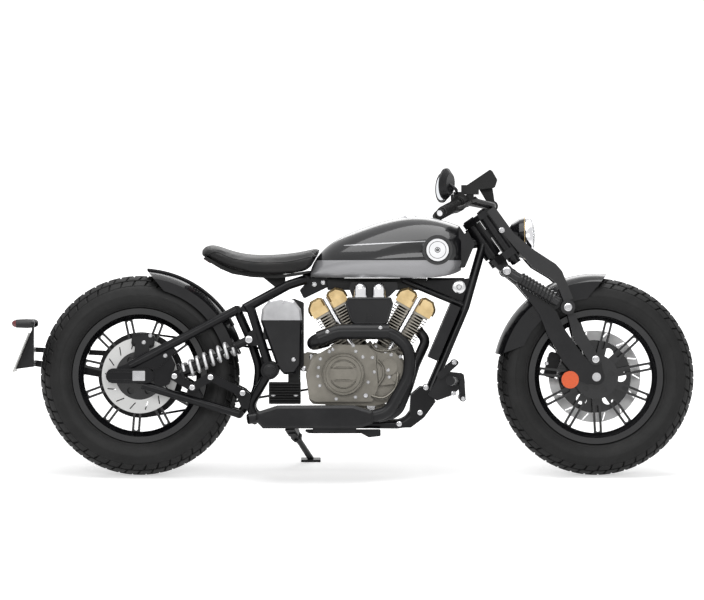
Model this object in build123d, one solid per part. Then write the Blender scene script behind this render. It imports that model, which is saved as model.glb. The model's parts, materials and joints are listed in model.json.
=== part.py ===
from build123d import *

# Bobber motorcycle with a vee-twin engine, a girder-style front fork and a solo saddle.
# Millimetres. The machine is drawn upright: x runs forward from the rear axle, y to its left and
# z up from the floor. It is then leaned to its left onto its side stand and set down, with the
# origin under the middle of its bounding box.

import os
from math import acos, atan2, cos, degrees, pi, radians, sin, sqrt, tan

# Stance
LEAN = 9.0
WHEELBASE = 1474.0

# Tyres and rims, 16 inch front and rear
REAR_TYRE_RADIUS = 323.0
REAR_TYRE_WIDTH = 150.0
REAR_CROWN_RADIUS = 82.0
REAR_RIM_WIDTH = 100.0
FRONT_TYRE_RADIUS = 319.0
FRONT_TYRE_WIDTH = 130.0
FRONT_CROWN_RADIUS = 70.0
FRONT_RIM_WIDTH = 88.0
BEAD_RADIUS = 203.0
RIM_LIP_HEIGHT = 14.0
RIM_LIP_THICKNESS = 7.0
RIM_WELL_DEPTH = 14.0
RIM_WALL = 7.0
TYRE_TREAD_THICKNESS = 13.0
SPOKE_COUNT = 11
SPOKE_WIDTH = 27.0
SPOKE_SLOT_WIDTH = 11.5
SPOKE_SLOT_START = 92.0
SPOKE_DEPTH = 24.0
REAR_SPOKE_PHASE = 102.0
FRONT_SPOKE_PHASE = 76.3
HUB_RADIUS = 36.0
HUB_FLANGE_RADIUS = 68.0
REAR_HUB_HALF = 86.0
FRONT_HUB_HALF = 70.0
HUB_FLANGE_THICKNESS = 9.0
AXLE_RADIUS = 10.0
RUNNING_CLEARANCE = 0.3

# Brakes
REAR_DISC_RADIUS = 122.0
REAR_DISC_INNER_RADIUS = 78.0
REAR_DISC_Y = -62.0
FRONT_DISC_RADIUS = 149.0
FRONT_DISC_INNER_RADIUS = 118.0
FRONT_DISC_Y = 52.0
DISC_THICKNESS = 5.0
DISC_SLOT_COUNT = 14
DISC_SLOT_LENGTH = 28.0
DISC_SLOT_WIDTH = 3.6
CALIPER_GAP = 1.5

# Belt drive on the left
BELT_Y = 89.0
BELT_WIDTH = 16.0
BELT_THICKNESS = 7.0
REAR_PULLEY_RADIUS = 132.0
FRONT_PULLEY_RADIUS = 44.0
OUTPUT_SHAFT = (600.0, 335.0)
BELT_CLEARANCE = 0.4

# Frame
TUBE_RADIUS = 14.0
SWINGARM_PIVOT = (421.0, 341.0)
PIVOT_BOSS_RADIUS = 29.0
FRAME_HALF_WIDTH = 118.0
FRAME_FRONT_HALF_WIDTH = 92.0
CRADLE_Z = 167.0
HEAD_POINT = (1080.0, 801.0)
RAKE = 34.8
HEAD_TUBE_RADIUS = 29.0
HEAD_TUBE_LENGTH = 112.0
HEAD_TUBE_BORE = 19.0
STEM_RADIUS = 18.5
CLAMP_GAP = 6.0
TOP_CLAMP_DROP = -8.0
TOP_CLAMP_THICKNESS = 20.0
STEER_CLEARANCE = 6.0
BACKBONE_RADIUS = 22.0
BACKBONE_REAR = (574.0, 655.0)

# Swingarm and rear suspension
SWINGARM_Y = 122.0
SWINGARM_TUBE_RADIUS = 14.0
SWINGARM_HOOP_Y = 58.0
AXLE_PLATE_THICKNESS = 26.0
AXLE_PLATE_HEIGHT = 48.0
ROCKER_REAR = (115.0, 323.0)
ROCKER_PIVOT = (172.0, 287.0)
ROCKER_FRONT = (231.0, 320.0)
PULL_ROD_FRONT = (334.0, 269.0)
SHOCK_TOP = (354.0, 441.0)
SHOCK_Y = 133.0
SPRING_RADIUS = 28.0
SPRING_WIRE_RADIUS = 5.0
SPRING_COILS = 7
ROCKER_THICKNESS = 8.0

# Engine
CRANK = (750.0, 310.0)
VEE_HALF_ANGLE = 30.0
CASE_HALF_WIDTH = 78.0
CYLINDER_BASE = 110.0
HEAD_BASE = 262.0
HEAD_HEIGHT = 56.0
CYLINDER_RADIUS = 47.0
FIN_HALF_WIDTH = 60.0
FIN_THICKNESS = 3.5
FIN_PITCH = 9.5
CLUTCH_CENTRE = (658.0, 329.0)
CLUTCH_RADIUS = 64.0
CLUTCH_COVER_Y = -118.0

# Fork and steering
FORK_OFFSET = 50.0
FORK_TUBE_Y = 90.0
FORK_TUBE_RADIUS = 18.0
FORK_TUBE_TOP = 42.0
FORK_TUBE_LENGTH = 205.0
ARM_PIVOT = (1184.0, 662.0)
GIRDER_PIVOT = (1381.0, 545.0)
LINK_FOOT = (1471.0, 377.0)
REFLECTOR = (1389.0, 311.0)
REFLECTOR_RADIUS = 28.0
ARM_INNER_Y = 78.0
ARM_THICKNESS = 22.0
LINK_THICKNESS = 10.0
GIRDER_THICKNESS = 16.0
SIDE_GAP = 2.0
BELLOWS_RADIUS = 23.0
BELLOWS_PLEATS = 11

# Handlebar
BAR_CENTRE = (1140.0, 871.0)
BAR_RADIUS = 11.0
BAR_HALF_WIDTH = 400.0
BAR_END = (971.0, 847.0)
GRIP_RADIUS = 16.0
GRIP_LENGTH = 118.0
PERCH_GAP = 0.4
MIRROR_RADIUS = 50.0

# Body panels
FENDER_THICKNESS = 3.0
REAR_FENDER_RADIUS = 343.0
REAR_FENDER_HALF_WIDTH = 87.0
FRONT_FENDER_RADIUS = 334.0
FRONT_FENDER_HALF_WIDTH = 74.0
TANK_CLEARANCE = 4.0

# Side stand
STAND_PIVOT = (505.0, 134.0, 122.0)
STAND_FOLDED = (-1.0, 0.16, 0.02)
STAND_FOOT_SPREAD = 252.0
STAND_FOOT_AHEAD = 46.0
STAND_LEG_RADIUS = 10.0
STAND_FOOT_THICKNESS = 8.0
STAND_EYE = 14.0
STAND_PIN = 6.0


def axle_height(tyre_radius, crown_radius):
    """Height of an axle above the upright floor, so that the leaned tyre touches the real one."""
    return tyre_radius - crown_radius + crown_radius / cos(radians(LEAN))


REAR_AXLE = (0.0, axle_height(REAR_TYRE_RADIUS, REAR_CROWN_RADIUS))
FRONT_AXLE = (WHEELBASE, axle_height(FRONT_TYRE_RADIUS, FRONT_CROWN_RADIUS))
HEAD_AXIS = (sin(radians(RAKE)), -cos(radians(RAKE)))
HEAD_FORWARD = (cos(radians(RAKE)), sin(radians(RAKE)))
ARM_OUTER_Y = ARM_INNER_Y + ARM_THICKNESS
LINK_Y = ARM_OUTER_Y + SIDE_GAP
FORK_SHOCK_Y = LINK_Y + LINK_THICKNESS + 14.0


# Helpers
def steer(along, forward=0.0):
    """Point in the side view, along the steering axis from its top and forward of it."""
    return (HEAD_POINT[0] + along * HEAD_AXIS[0] + forward * HEAD_FORWARD[0],
            HEAD_POINT[1] + along * HEAD_AXIS[1] + forward * HEAD_FORWARD[1])


def between(a, b, share):
    """Point at a share of the way from a to b."""
    return tuple(p + (q - p) * share for p, q in zip(a, b))


def spot(xz, y):
    """Point in space from a side-view point."""
    return (xz[0], y, xz[1])


def slab(outline, y0, y1, corner=0.0):
    """Plate with a side-view outline, from y0 to y1, its corners rounded."""
    low, high = min(y0, y1), max(y0, y1)
    if corner:
        edge = FilletPolyline(*outline, radius=corner, close=True)
    else:
        edge = Polyline(*outline, close=True)
    face = Plane.XZ.offset(-high) * make_face(edge)
    return extrude(face, amount=high - low, dir=(0, -1, 0))


def boss(centre, radius, y0, y1):
    """Round piece whose axis runs across the machine."""
    low, high = min(y0, y1), max(y0, y1)
    place = Plane(origin=(centre[0], low, centre[1]), z_dir=(0, 1, 0))
    return Solid.make_cylinder(radius, high - low, place)


def rod(a, b, radius):
    """Straight round bar from a to b."""
    start, end = Vector(*a), Vector(*b)
    return Solid.make_cylinder(radius, (end - start).length, Plane(origin=start, z_dir=end - start))


def pipe(points, radius, bend):
    """Round tube along straight runs joined by arcs."""
    corners = [Vector(*p) for p in points]
    radii = []
    for before, here, after in zip(corners, corners[1:], corners[2:]):
        turn = radians((here - before).get_angle(after - here))
        shorter = min((here - before).length, (after - here).length)
        radii.append(min(bend, 0.45 * shorter / tan(turn / 2)))
    path = FilletPolyline(*corners, radius=radii) if radii else Line(*corners)
    section = Plane(origin=path @ 0, z_dir=path % 0) * Circle(radius)
    return sweep(section, path=path)


def strap(a, b, radius_a, radius_b, y0, y1):
    """Flat link from a to b with round ends of two sizes."""
    span = sqrt((b[0] - a[0]) ** 2 + (b[1] - a[1]) ** 2)
    heading = atan2(b[1] - a[1], b[0] - a[0])
    lean = acos((radius_a - radius_b) / span)
    corners = []
    for side in (1, -1):
        angle = heading + side * lean
        pair = [(a[0] + radius_a * cos(angle), a[1] + radius_a * sin(angle)),
                (b[0] + radius_b * cos(angle), b[1] + radius_b * sin(angle))]
        corners += pair if side > 0 else pair[::-1]
    return slab(corners, y0, y1) + boss(a, radius_a, y0, y1) + boss(b, radius_b, y0, y1)


def mirrored(shape):
    """The same piece on the other side."""
    return mirror(shape, about=Plane.XZ)


def pair(shape):
    """A piece and its mirror image, as solids that don't touch."""
    return Compound(children=[*shape.solids(), *mirrored(shape).solids()])


def half_space_slab(a, b, side, reach, half_width):
    """Block on one side of the line a to b in the side view; a cutter."""
    length = sqrt((b[0] - a[0]) ** 2 + (b[1] - a[1]) ** 2)
    ux, uz = (b[0] - a[0]) / length, (b[1] - a[1]) / length
    nx, nz = -uz * side, ux * side
    start = (a[0] - ux * reach, a[1] - uz * reach)
    end = (b[0] + ux * reach, b[1] + uz * reach)
    outline = [start, end, (end[0] + nx * reach, end[1] + nz * reach),
               (start[0] + nx * reach, start[1] + nz * reach)]
    return slab(outline, -half_width, half_width)


# Wheels
def tyre(radius, width, crown, rim_width):
    """Tyre carcass, open to its rim."""
    half = rim_width / 2
    toe = half - 16
    lip = BEAD_RADIUS + RIM_LIP_HEIGHT
    shoulder_y = 0.44 * width
    shoulder_r = radius - crown + sqrt(crown ** 2 - shoulder_y ** 2)
    belly_r = (lip + shoulder_r) / 2 + 3
    inner_r = lip + 6
    outer = [
        Polyline((-toe, BEAD_RADIUS), (-half, BEAD_RADIUS), (-half, lip)),
        ThreePointArc((-half, lip), (-width / 2, belly_r), (-shoulder_y, shoulder_r)),
        ThreePointArc((-shoulder_y, shoulder_r), (0, radius), (shoulder_y, shoulder_r)),
        ThreePointArc((shoulder_y, shoulder_r), (width / 2, belly_r), (half, lip)),
        Polyline((half, lip), (half, BEAD_RADIUS), (toe, BEAD_RADIUS)),
        Line((toe, BEAD_RADIUS), (toe + 4, inner_r)),
        ThreePointArc((toe + 4, inner_r), (0, radius - TYRE_TREAD_THICKNESS), (-toe - 4, inner_r)),
        Line((-toe - 4, inner_r), (-toe, BEAD_RADIUS)),
    ]
    return revolve(Plane.YZ * make_face(Curve() + outer), axis=Axis.Y)


def cast_wheel(rim_width, phase, hub_half):
    """Rim, paired spokes and hub in one casting."""
    half = rim_width / 2
    lip = BEAD_RADIUS + RIM_LIP_HEIGHT
    well = BEAD_RADIUS - RIM_WELL_DEPTH
    edge = half + RIM_LIP_THICKNESS
    right = [(edge, lip), (half, lip), (half, BEAD_RADIUS), (half - 16, BEAD_RADIUS), (half - 26, well)]
    inner = [(half - 26, well - RIM_WALL), (half - 14, BEAD_RADIUS - RIM_WALL), (edge, BEAD_RADIUS - 5)]
    outline = right + [(-y, r) for y, r in right[::-1]] + [(-y, r) for y, r in inner[::-1]] + inner
    wheel = revolve(Plane.YZ * make_face(Polyline(*outline, close=True)), axis=Axis.Y)
    wheel += boss((0, 0), HUB_RADIUS, -hub_half, hub_half)
    wheel += boss((0, 0), HUB_FLANGE_RADIUS, -HUB_FLANGE_THICKNESS * 2, HUB_FLANGE_THICKNESS * 2)
    tip = well - RIM_WALL + 3
    slot_end = well - RIM_WALL - 3
    for n in range(SPOKE_COUNT):
        spoke = Pos((HUB_RADIUS + tip) / 2, 0, 0) * Box(tip - HUB_RADIUS, SPOKE_DEPTH, SPOKE_WIDTH)
        slot_length = slot_end - SPOKE_SLOT_START
        slot = (Plane.XZ * Pos(SPOKE_SLOT_START + slot_length / 2, 0)
                * SlotOverall(slot_length, SPOKE_SLOT_WIDTH))
        spoke -= extrude(slot, amount=SPOKE_DEPTH, both=True)
        wheel += Rot(0, -(phase + n * 360 / SPOKE_COUNT), 0) * spoke
    return wheel - boss((0, 0), AXLE_RADIUS + RUNNING_CLEARANCE, -hub_half, hub_half)


def brake_disc(outer, inner, y, hub_reach):
    """Slotted disc ring, its dished carrier and the boss that meets the hub."""
    ring = boss((0, 0), outer, y - DISC_THICKNESS / 2, y + DISC_THICKNESS / 2)
    ring -= boss((0, 0), inner, y - DISC_THICKNESS, y + DISC_THICKNESS)
    slot_r = (outer + inner) / 2
    for n in range(DISC_SLOT_COUNT):
        slot = Plane.XZ.offset(-y) * SlotOverall(DISC_SLOT_LENGTH, DISC_SLOT_WIDTH)
        cutter = Pos(slot_r, 0, 0) * Rot(0, 30, 0) * extrude(slot, amount=DISC_THICKNESS, both=True)
        ring -= Rot(0, -n * 360 / DISC_SLOT_COUNT, 0) * cutter
    side = 1 if y > 0 else -1
    carrier = boss((0, 0), inner, y - DISC_THICKNESS / 2, y + DISC_THICKNESS / 2)
    carrier += boss((0, 0), HUB_RADIUS + 12, y, side * hub_reach)
    for n in range(6):
        angle = radians(60 * n)
        centre = (0.72 * inner * cos(angle), 0.72 * inner * sin(angle))
        carrier -= boss(centre, 0.15 * inner, y - DISC_THICKNESS, y + DISC_THICKNESS)
    carrier -= boss((0, 0), HUB_RADIUS, y + side * 40, side * (hub_reach - 30))
    return ring, carrier


def placed_wheel(shape, axle):
    return Pos(axle[0], 0, axle[1]) * shape


def rear_caliper():
    """Rear caliper on a bracket that hangs from the axle."""
    body = caliper(REAR_AXLE, REAR_DISC_Y, REAR_DISC_RADIUS, 84, 44, 74)
    top = (REAR_AXLE[0] + 12, REAR_AXLE[1] + 112)
    body += strap(REAR_AXLE, top, 27, 22, -94, -102)
    for dx in (-22, 22):
        body += boss((top[0] + dx * 0.99, top[1] - dx * 0.1), 12, -80, -98)
    body += slab([(top[0] - 30, top[1] + 12), (top[0] + 32, top[1] + 4), (top[0] + 30, top[1] - 14),
                  (top[0] - 30, top[1] - 8)], -94, -102)
    return body - boss(REAR_AXLE, 17.3, -300, 0)


def front_caliper():
    """Front caliper on a lug that reaches the left arm."""
    body = caliper(FRONT_AXLE, FRONT_DISC_Y, FRONT_DISC_RADIUS, 165, 40, 84)
    for dz in (-22, 22):
        body += strap((1336 - 0.26 * dz, 355 + dz), (1392, 362 + 0.4 * dz), 11, 9, 70, ARM_INNER_Y)
    return body


def caliper(axle, y, radius, angle, reach, height):
    """Four-piston brake caliper that straddles a disc."""
    block = Box(reach, 2 * 22, height)
    block = fillet(block.edges().filter_by(Axis.Y), 12)
    block = Pos(radius - reach / 2 + 14, y, 0) * block
    block -= boss((0, 0), radius + 3, y - DISC_THICKNESS / 2 - CALIPER_GAP,
                  y + DISC_THICKNESS / 2 + CALIPER_GAP)
    for dz in (-0.3, 0.3):
        block += boss((radius - reach / 2 + 14, dz * height), 12, y - 25, y + 25) \
            - boss((0, 0), radius + 3, y - DISC_THICKNESS / 2 - CALIPER_GAP,
                   y + DISC_THICKNESS / 2 + CALIPER_GAP)
    return placed_wheel(Rot(0, -angle, 0) * block, axle)


def rear_wheel():
    hub_half = REAR_HUB_HALF
    ring, carrier = brake_disc(REAR_DISC_RADIUS, REAR_DISC_INNER_RADIUS, REAR_DISC_Y,
                               2 * HUB_FLANGE_THICKNESS)
    pulley_low, pulley_high = BELT_Y - BELT_WIDTH / 2, BELT_Y + BELT_WIDTH / 2
    wheel = cast_wheel(REAR_RIM_WIDTH, REAR_SPOKE_PHASE, hub_half)
    carrier -= boss((0, 0), HUB_RADIUS, -hub_half, hub_half)
    pulley = boss((0, 0), REAR_PULLEY_RADIUS, pulley_low - 2, pulley_high)
    pulley -= boss((0, 0), REAR_PULLEY_RADIUS - 12, pulley_low + 6, pulley_high + 1)
    pulley += boss((0, 0), REAR_PULLEY_RADIUS + BELT_THICKNESS, pulley_low - 5, pulley_low - 2)
    for n in range(6):
        angle = radians(60 * n + 30)
        pulley -= boss((84 * cos(angle), 84 * sin(angle)), 24, pulley_low - 6, pulley_high + 1)
    pulley += boss((0, 0), HUB_RADIUS + 16, 2 * HUB_FLANGE_THICKNESS, pulley_low - 2)
    pulley -= boss((0, 0), HUB_RADIUS, 0, hub_half + 40)
    hub_bore = boss((0, 0), AXLE_RADIUS + RUNNING_CLEARANCE, 0, hub_half + 40)
    return {
        "rear_tyre": tyre(REAR_TYRE_RADIUS, REAR_TYRE_WIDTH, REAR_CROWN_RADIUS, REAR_RIM_WIDTH),
        "rear_wheel": wheel,
        "rear_brake_disc": ring,
        "rear_disc_carrier": carrier,
        "rear_pulley": pulley - hub_bore,
    }


def front_wheel():
    hub_half = FRONT_HUB_HALF
    ring, carrier = brake_disc(FRONT_DISC_RADIUS, FRONT_DISC_INNER_RADIUS, FRONT_DISC_Y,
                               2 * HUB_FLANGE_THICKNESS)
    carrier -= boss((0, 0), HUB_RADIUS, -hub_half, hub_half)
    cover = boss((0, 0), HUB_FLANGE_RADIUS + 4, -hub_half + 8, -hub_half + 22)
    cover += boss((0, 0), HUB_FLANGE_RADIUS - 16, -hub_half + 22, -2 * HUB_FLANGE_THICKNESS)
    for n in range(5):
        angle = radians(72 * n + 12)
        slot = boss((50 * cos(angle), 50 * sin(angle)), 9, -hub_half, -hub_half + 18)
        cover -= slot
    cover -= boss((0, 0), HUB_RADIUS, -hub_half, 0)
    return {
        "front_tyre": tyre(FRONT_TYRE_RADIUS, FRONT_TYRE_WIDTH, FRONT_CROWN_RADIUS, FRONT_RIM_WIDTH),
        "front_wheel": cast_wheel(FRONT_RIM_WIDTH, FRONT_SPOKE_PHASE, hub_half),
        "front_brake_disc": ring,
        "front_disc_carrier": carrier,
        "front_hub_cover": cover,
    }


# Fenders
def fender(radius, half_width, skirt_radius, first, last):
    """Sheet fender about its axle, from one angle to another, measured up from forward."""
    edge = radius - 26
    t = FENDER_THICKNESS
    outer = [
        Line((-half_width, skirt_radius), (-half_width, edge)),
        ThreePointArc((-half_width, edge), (0, radius), (half_width, edge)),
        Polyline((half_width, edge), (half_width, skirt_radius), (half_width - t, skirt_radius),
                 (half_width - t, edge)),
        ThreePointArc((half_width - t, edge), (0, radius - t), (t - half_width, edge)),
        Polyline((t - half_width, edge), (t - half_width, skirt_radius), (-half_width, skirt_radius)),
    ]
    face = Plane.YZ * make_face(Curve() + outer)
    shell = revolve(face, axis=Axis.Y, revolution_arc=abs(last - first))
    return Rot(0, 90 - max(first, last), 0) * shell


def rear_fender():
    shell = placed_wheel(fender(REAR_FENDER_RADIUS, REAR_FENDER_HALF_WIDTH, 284, 88, 16), REAR_AXLE)
    shell -= half_space_slab((22, 665), (84, 592), -1, 400, 200)
    shell -= Pos(285, BELT_Y, 428) * Box(130, BELT_WIDTH + 14, 80)
    rib = Rot(0, 4, 0) * revolve(
        Plane.YZ * Pos(0, REAR_FENDER_RADIUS + 1) * Rectangle(70, 6), axis=Axis.Y, revolution_arc=58)
    rib = placed_wheel(rib, REAR_AXLE) - half_space_slab((22, 665), (84, 592), -1, 400, 200)
    for side in (1, -1):
        rib += rod((286, side * 24, 517), (308, side * 24, 532), 7)
    return shell + rib


def front_fender():
    shell = placed_wheel(fender(FRONT_FENDER_RADIUS, FRONT_FENDER_HALF_WIDTH, 254, 83, 167), FRONT_AXLE)
    shell -= half_space_slab((1514, 655), (1436, 562), 1, 400, 200)
    shell -= half_space_slab((1140, 384), (1250, 424), -1, 300, 200)
    for side in (1, -1):
        shell += slab([(1262, 540), (1286, 566), (1306, 560), (1300, 520), (1268, 508)],
                      side * (FRONT_FENDER_HALF_WIDTH - FENDER_THICKNESS), side * ARM_INNER_Y)
    return shell


# Frame
def frame_spine():
    """Head tube, backbone, twin down tubes and the front gussets."""
    head_low, head_high = steer(HEAD_TUBE_LENGTH), steer(TOP_CLAMP_DROP + 0.6)
    head = rod(spot(head_high, 0), spot(head_low, 0), HEAD_TUBE_RADIUS)
    mid = steer(HEAD_TUBE_LENGTH * 0.42)
    spine = rod(spot(mid, 0), spot(BACKBONE_REAR, 0), BACKBONE_RADIUS)
    knee, foot = (1052, 545), (936, 272)
    low = steer(HEAD_TUBE_LENGTH * 0.5)
    tubes = []
    for side in (1, -1):
        tubes.append(pipe([spot(low, side * 14), spot(knee, side * 46),
                           spot(foot, side * FRAME_FRONT_HALF_WIDTH)], TUBE_RADIUS, 90))
        brace = [(850, 630), (1000, 632), (1080, 640), (1072, 590), (1046, 545), (1036, 545)]
        tubes.append(slab(brace, side * 34, side * 42))
        tubes.append(rod((850, side * 40, 632), (1046, side * 46, 550), 10))
        tubes.append(slab([(530, 572), (516, 600), (552, 640), (640, 650), (668, 640), (655, 630),
                           (600, 606)],
                          side * (BACKBONE_RADIUS - 6), side * (BACKBONE_RADIUS + 2), 6))
    cross = rod((knee[0], -46, knee[1]), (knee[0], 46, knee[1]), TUBE_RADIUS - 3)
    hanger = rod((862, -40, 628), (862, 40, 628),
                 12) + slab([(842, 618), (882, 618), (882, 720), (842, 712)], -10, 10)
    rear_cross = rod((534, -44, 634), (534, 44, 634), TUBE_RADIUS)
    rear_cross += rod((534, 0, 634), spot(BACKBONE_REAR, 0), BACKBONE_RADIUS - 4)
    body = head + spine + cross + hanger + rear_cross
    for piece in tubes:
        body += piece
    bore = rod(spot(steer(-40), 0), spot(steer(HEAD_TUBE_LENGTH + 60), 0), HEAD_TUBE_BORE)
    return body - bore


def frame_rear():
    """Seat rails, uprights, pivot bosses and the rear gusset plates."""
    top, corner = (512, 642), (340, 541)
    body = None
    for side in (1, -1):
        y = side * FRAME_HALF_WIDTH
        rail = pipe([(534, side * 50, 634), (478, side * 70, 616), spot(corner, y)], TUBE_RADIUS + 1, 120)
        upright = rod((356, y, 546), spot(SWINGARM_PIVOT, y), TUBE_RADIUS - 1)
        ring = boss(SWINGARM_PIVOT, PIVOT_BOSS_RADIUS, side * 104, side * 134)
        bracket = slab([(350, 462), (376, 478), (400, 424), (372, 420), (345, 424)], side * 104,
                       side * (SHOCK_Y - 4))
        side_body = rail + upright + ring + bracket
        body = side_body if body is None else body + side_body
    body += rod(spot(corner, -FRAME_HALF_WIDTH), spot(corner, FRAME_HALF_WIDTH), TUBE_RADIUS - 2)
    body -= boss(SWINGARM_PIVOT, 10, -200, 200)
    return body


def frame_cradle():
    """Lower rails from the pivot bosses to the down tubes, with the front castings."""
    body = None
    for side in (1, -1):
        y, front = side * FRAME_HALF_WIDTH, side * FRAME_FRONT_HALF_WIDTH
        rail = pipe([spot(between(SWINGARM_PIVOT, (345, 208), 0.1), y), (345, y, 208), (430, y, CRADLE_Z + 4),
                     (858, side * 100, CRADLE_Z), (936, front, 272)], TUBE_RADIUS, 60)
        casting = slab([(820, 172), (838, 156), (876, 157), (918, 189), (956, 241), (930, 288),
                        (905, 288), (876, 262), (872, 200), (846, 182)], side * 82, side * 112, 5)
        bracket = slab([(312, 262), (334, 284), (362, 262), (352, 214), (330, 222)], side * 106,
                       side * (SHOCK_Y + 1))
        one = rail + casting + bracket
        body = one if body is None else body + one
    for x, z, half in ((372, 178, FRAME_HALF_WIDTH), (690, CRADLE_Z, 106), (868, CRADLE_Z + 6, 98)):
        body += rod((x, -half, z), (x, half, z), TUBE_RADIUS - 3)
    return body


# Swingarm and rear suspension
def swingarm():
    """Triangulated arm with its front hoop, pivot tube and axle plates."""
    top, foot = (314, 536), (322, 201)
    body = None
    for side in (1, -1):
        y = side * SWINGARM_Y
        inner, outer = (side * (SWINGARM_Y - AXLE_PLATE_THICKNESS / 2),
                        side * (SWINGARM_Y + AXLE_PLATE_THICKNESS / 2))
        axle_z = REAR_AXLE[1]
        plate = strap((-82, axle_z), (24, axle_z), AXLE_PLATE_HEIGHT / 2, AXLE_PLATE_HEIGHT / 2, inner, outer)
        upper = rod((-30, y, 356), spot(top, y), SWINGARM_TUBE_RADIUS)
        web = slab([(-88, 345), (60, 345), (118, 400), (96, 424), (-40, 362)], side * (SWINGARM_Y - 5),
                   side * (SWINGARM_Y + 5), 4)
        lower = rod((10, y, 294), spot(foot, y), SWINGARM_TUBE_RADIUS - 1)
        lug = slab([(152, 262), (160, 296), (184, 296), (204, 258), (190, 236), (160, 244)],
                   side * (SWINGARM_Y - 12), side * (SWINGARM_Y - 2), 4)
        gusset = slab([(38, 318), (60, 388), (98, 402), (118, 360), (98, 296), (60, 284)],
                      side * (SWINGARM_Y - 10), side * SWINGARM_Y, 8)
        hoop_y = side * SWINGARM_HOOP_Y
        hoop = pipe([spot(top, hoop_y), (356, hoop_y, 442), (386, hoop_y, 350), (376, hoop_y, 262),
                     spot(foot, hoop_y)], SWINGARM_TUBE_RADIUS - 1, 120)
        web2 = slab([(376, 392), (421, 362), (421, 320), (376, 290)], side * 52, side * 62)
        one = plate + upper + web + lower + lug + gusset + hoop + web2
        body = one if body is None else body + one
    for point in (top, foot):
        body += rod(spot(point, -SWINGARM_Y), spot(point, SWINGARM_Y), SWINGARM_TUBE_RADIUS)
    body += boss(SWINGARM_PIVOT, 24, -98, 98)
    body -= boss(REAR_AXLE, AXLE_RADIUS + RUNNING_CLEARANCE, -200, 200)
    body -= boss(SWINGARM_PIVOT, 10, -200, 200)
    return body


def rear_axle():
    """Axle, its spacers and the square adjuster blocks on the axle plates."""
    face = SWINGARM_Y + AXLE_PLATE_THICKNESS / 2
    axle = boss(REAR_AXLE, AXLE_RADIUS, -face - 14, face + 14)
    for side in (1, -1):
        x, z = REAR_AXLE
        block = slab([(x - 20, z - 16), (x + 20, z - 16), (x + 20, z + 16), (x - 20, z + 16)],
                     side * face, side * (face + 5), 2)
        axle += block + boss(REAR_AXLE, 15, side * (face + 4), side * (face + 16))
        inner = SWINGARM_Y - AXLE_PLATE_THICKNESS / 2
        axle += boss(REAR_AXLE, 17, side * (REAR_HUB_HALF + 0.5), side * inner)
    return axle


def swingarm_pivot_bolt():
    bolt = boss(SWINGARM_PIVOT, 10, -140, 140)
    for side in (1, -1):
        bolt += boss(SWINGARM_PIVOT, 17, side * 134, side * 139)
        bolt += boss(SWINGARM_PIVOT, 9, side * 138, side * 144)
    return bolt


def shock_frame(side):
    a, b = spot(ROCKER_REAR, side * SHOCK_Y), spot(SHOCK_TOP, side * SHOCK_Y)
    return Vector(*a), Vector(*b)


def rear_shock(side):
    """Damper body, rod and eyes."""
    low, high = shock_frame(side)
    axis = (high - low).normalized()
    length = (high - low).length
    y = side * SHOCK_Y
    body = rod(tuple(low + axis * 6), tuple(low + axis * (length * 0.52)), 15)
    body += rod(tuple(low + axis * (length * 0.5)), tuple(high - axis * 4), 7)
    body += rod(tuple(high - axis * 52), tuple(high - axis * 8), 13)
    body += rod(tuple(low + axis * 22), tuple(low + axis * 30), SPRING_RADIUS + 3)
    body += rod(tuple(high - axis * 52), tuple(high - axis * 46), SPRING_RADIUS + 2)
    body += boss(ROCKER_REAR, 14, y - 10, y + 10) + boss(SHOCK_TOP, 12, y - 3.5, y + 10)
    body += boss(SHOCK_TOP, 5, y - 12, y + 14)
    return body


def rear_spring(side):
    """Coil spring between the shock's two seats."""
    low, high = shock_frame(side)
    axis = (high - low).normalized()
    start, end = low + axis * (30.2 + SPRING_WIRE_RADIUS), high - axis * (52.2 + SPRING_WIRE_RADIUS)
    height = (end - start).length
    base = Plane(origin=start, x_dir=(0, 1, 0), z_dir=axis)
    path = base.location * Helix(height / SPRING_COILS, height, SPRING_RADIUS - SPRING_WIRE_RADIUS)
    return sweep(Plane(origin=path @ 0, z_dir=path % 0) * Circle(SPRING_WIRE_RADIUS), path=path,
                 is_frenet=True)


def shock_linkage(side):
    """Rocker, pull rod and their pins beside the swingarm lug."""
    near, far = SWINGARM_Y - 1.5, SWINGARM_Y - 1.5 + ROCKER_THICKNESS
    inner = SHOCK_Y + 10.5
    y0, y1 = side * inner, side * (inner + ROCKER_THICKNESS)
    rocker = (strap(ROCKER_REAR, ROCKER_PIVOT, 15, 13, y0, y1)
              + strap(ROCKER_PIVOT, ROCKER_FRONT, 13, 15, y0, y1))
    pull = strap(ROCKER_FRONT, PULL_ROD_FRONT, 13, 13, side * (inner - ROCKER_THICKNESS - 1),
                 side * (inner - 1))
    pins = boss(ROCKER_REAR, 6, side * (SHOCK_Y - 10), side * (inner + ROCKER_THICKNESS + 4))
    pins += boss(ROCKER_PIVOT, 6, side * (SWINGARM_Y - 12), side * (inner + ROCKER_THICKNESS + 4))
    pins += boss(ROCKER_FRONT, 6, side * (inner - ROCKER_THICKNESS - 1),
                 side * (inner + ROCKER_THICKNESS + 4))
    pins += boss(PULL_ROD_FRONT, 6, side * 110, side * (inner + 4))
    return rocker + pull + pins


# Engine
def cylinder_place(side):
    """Frame of a cylinder: its z runs out along the bore, its x forward across it."""
    tilt = side * VEE_HALF_ANGLE
    return Pos(CRANK[0], 0, CRANK[1]) * Rot(0, tilt, 0)


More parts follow.
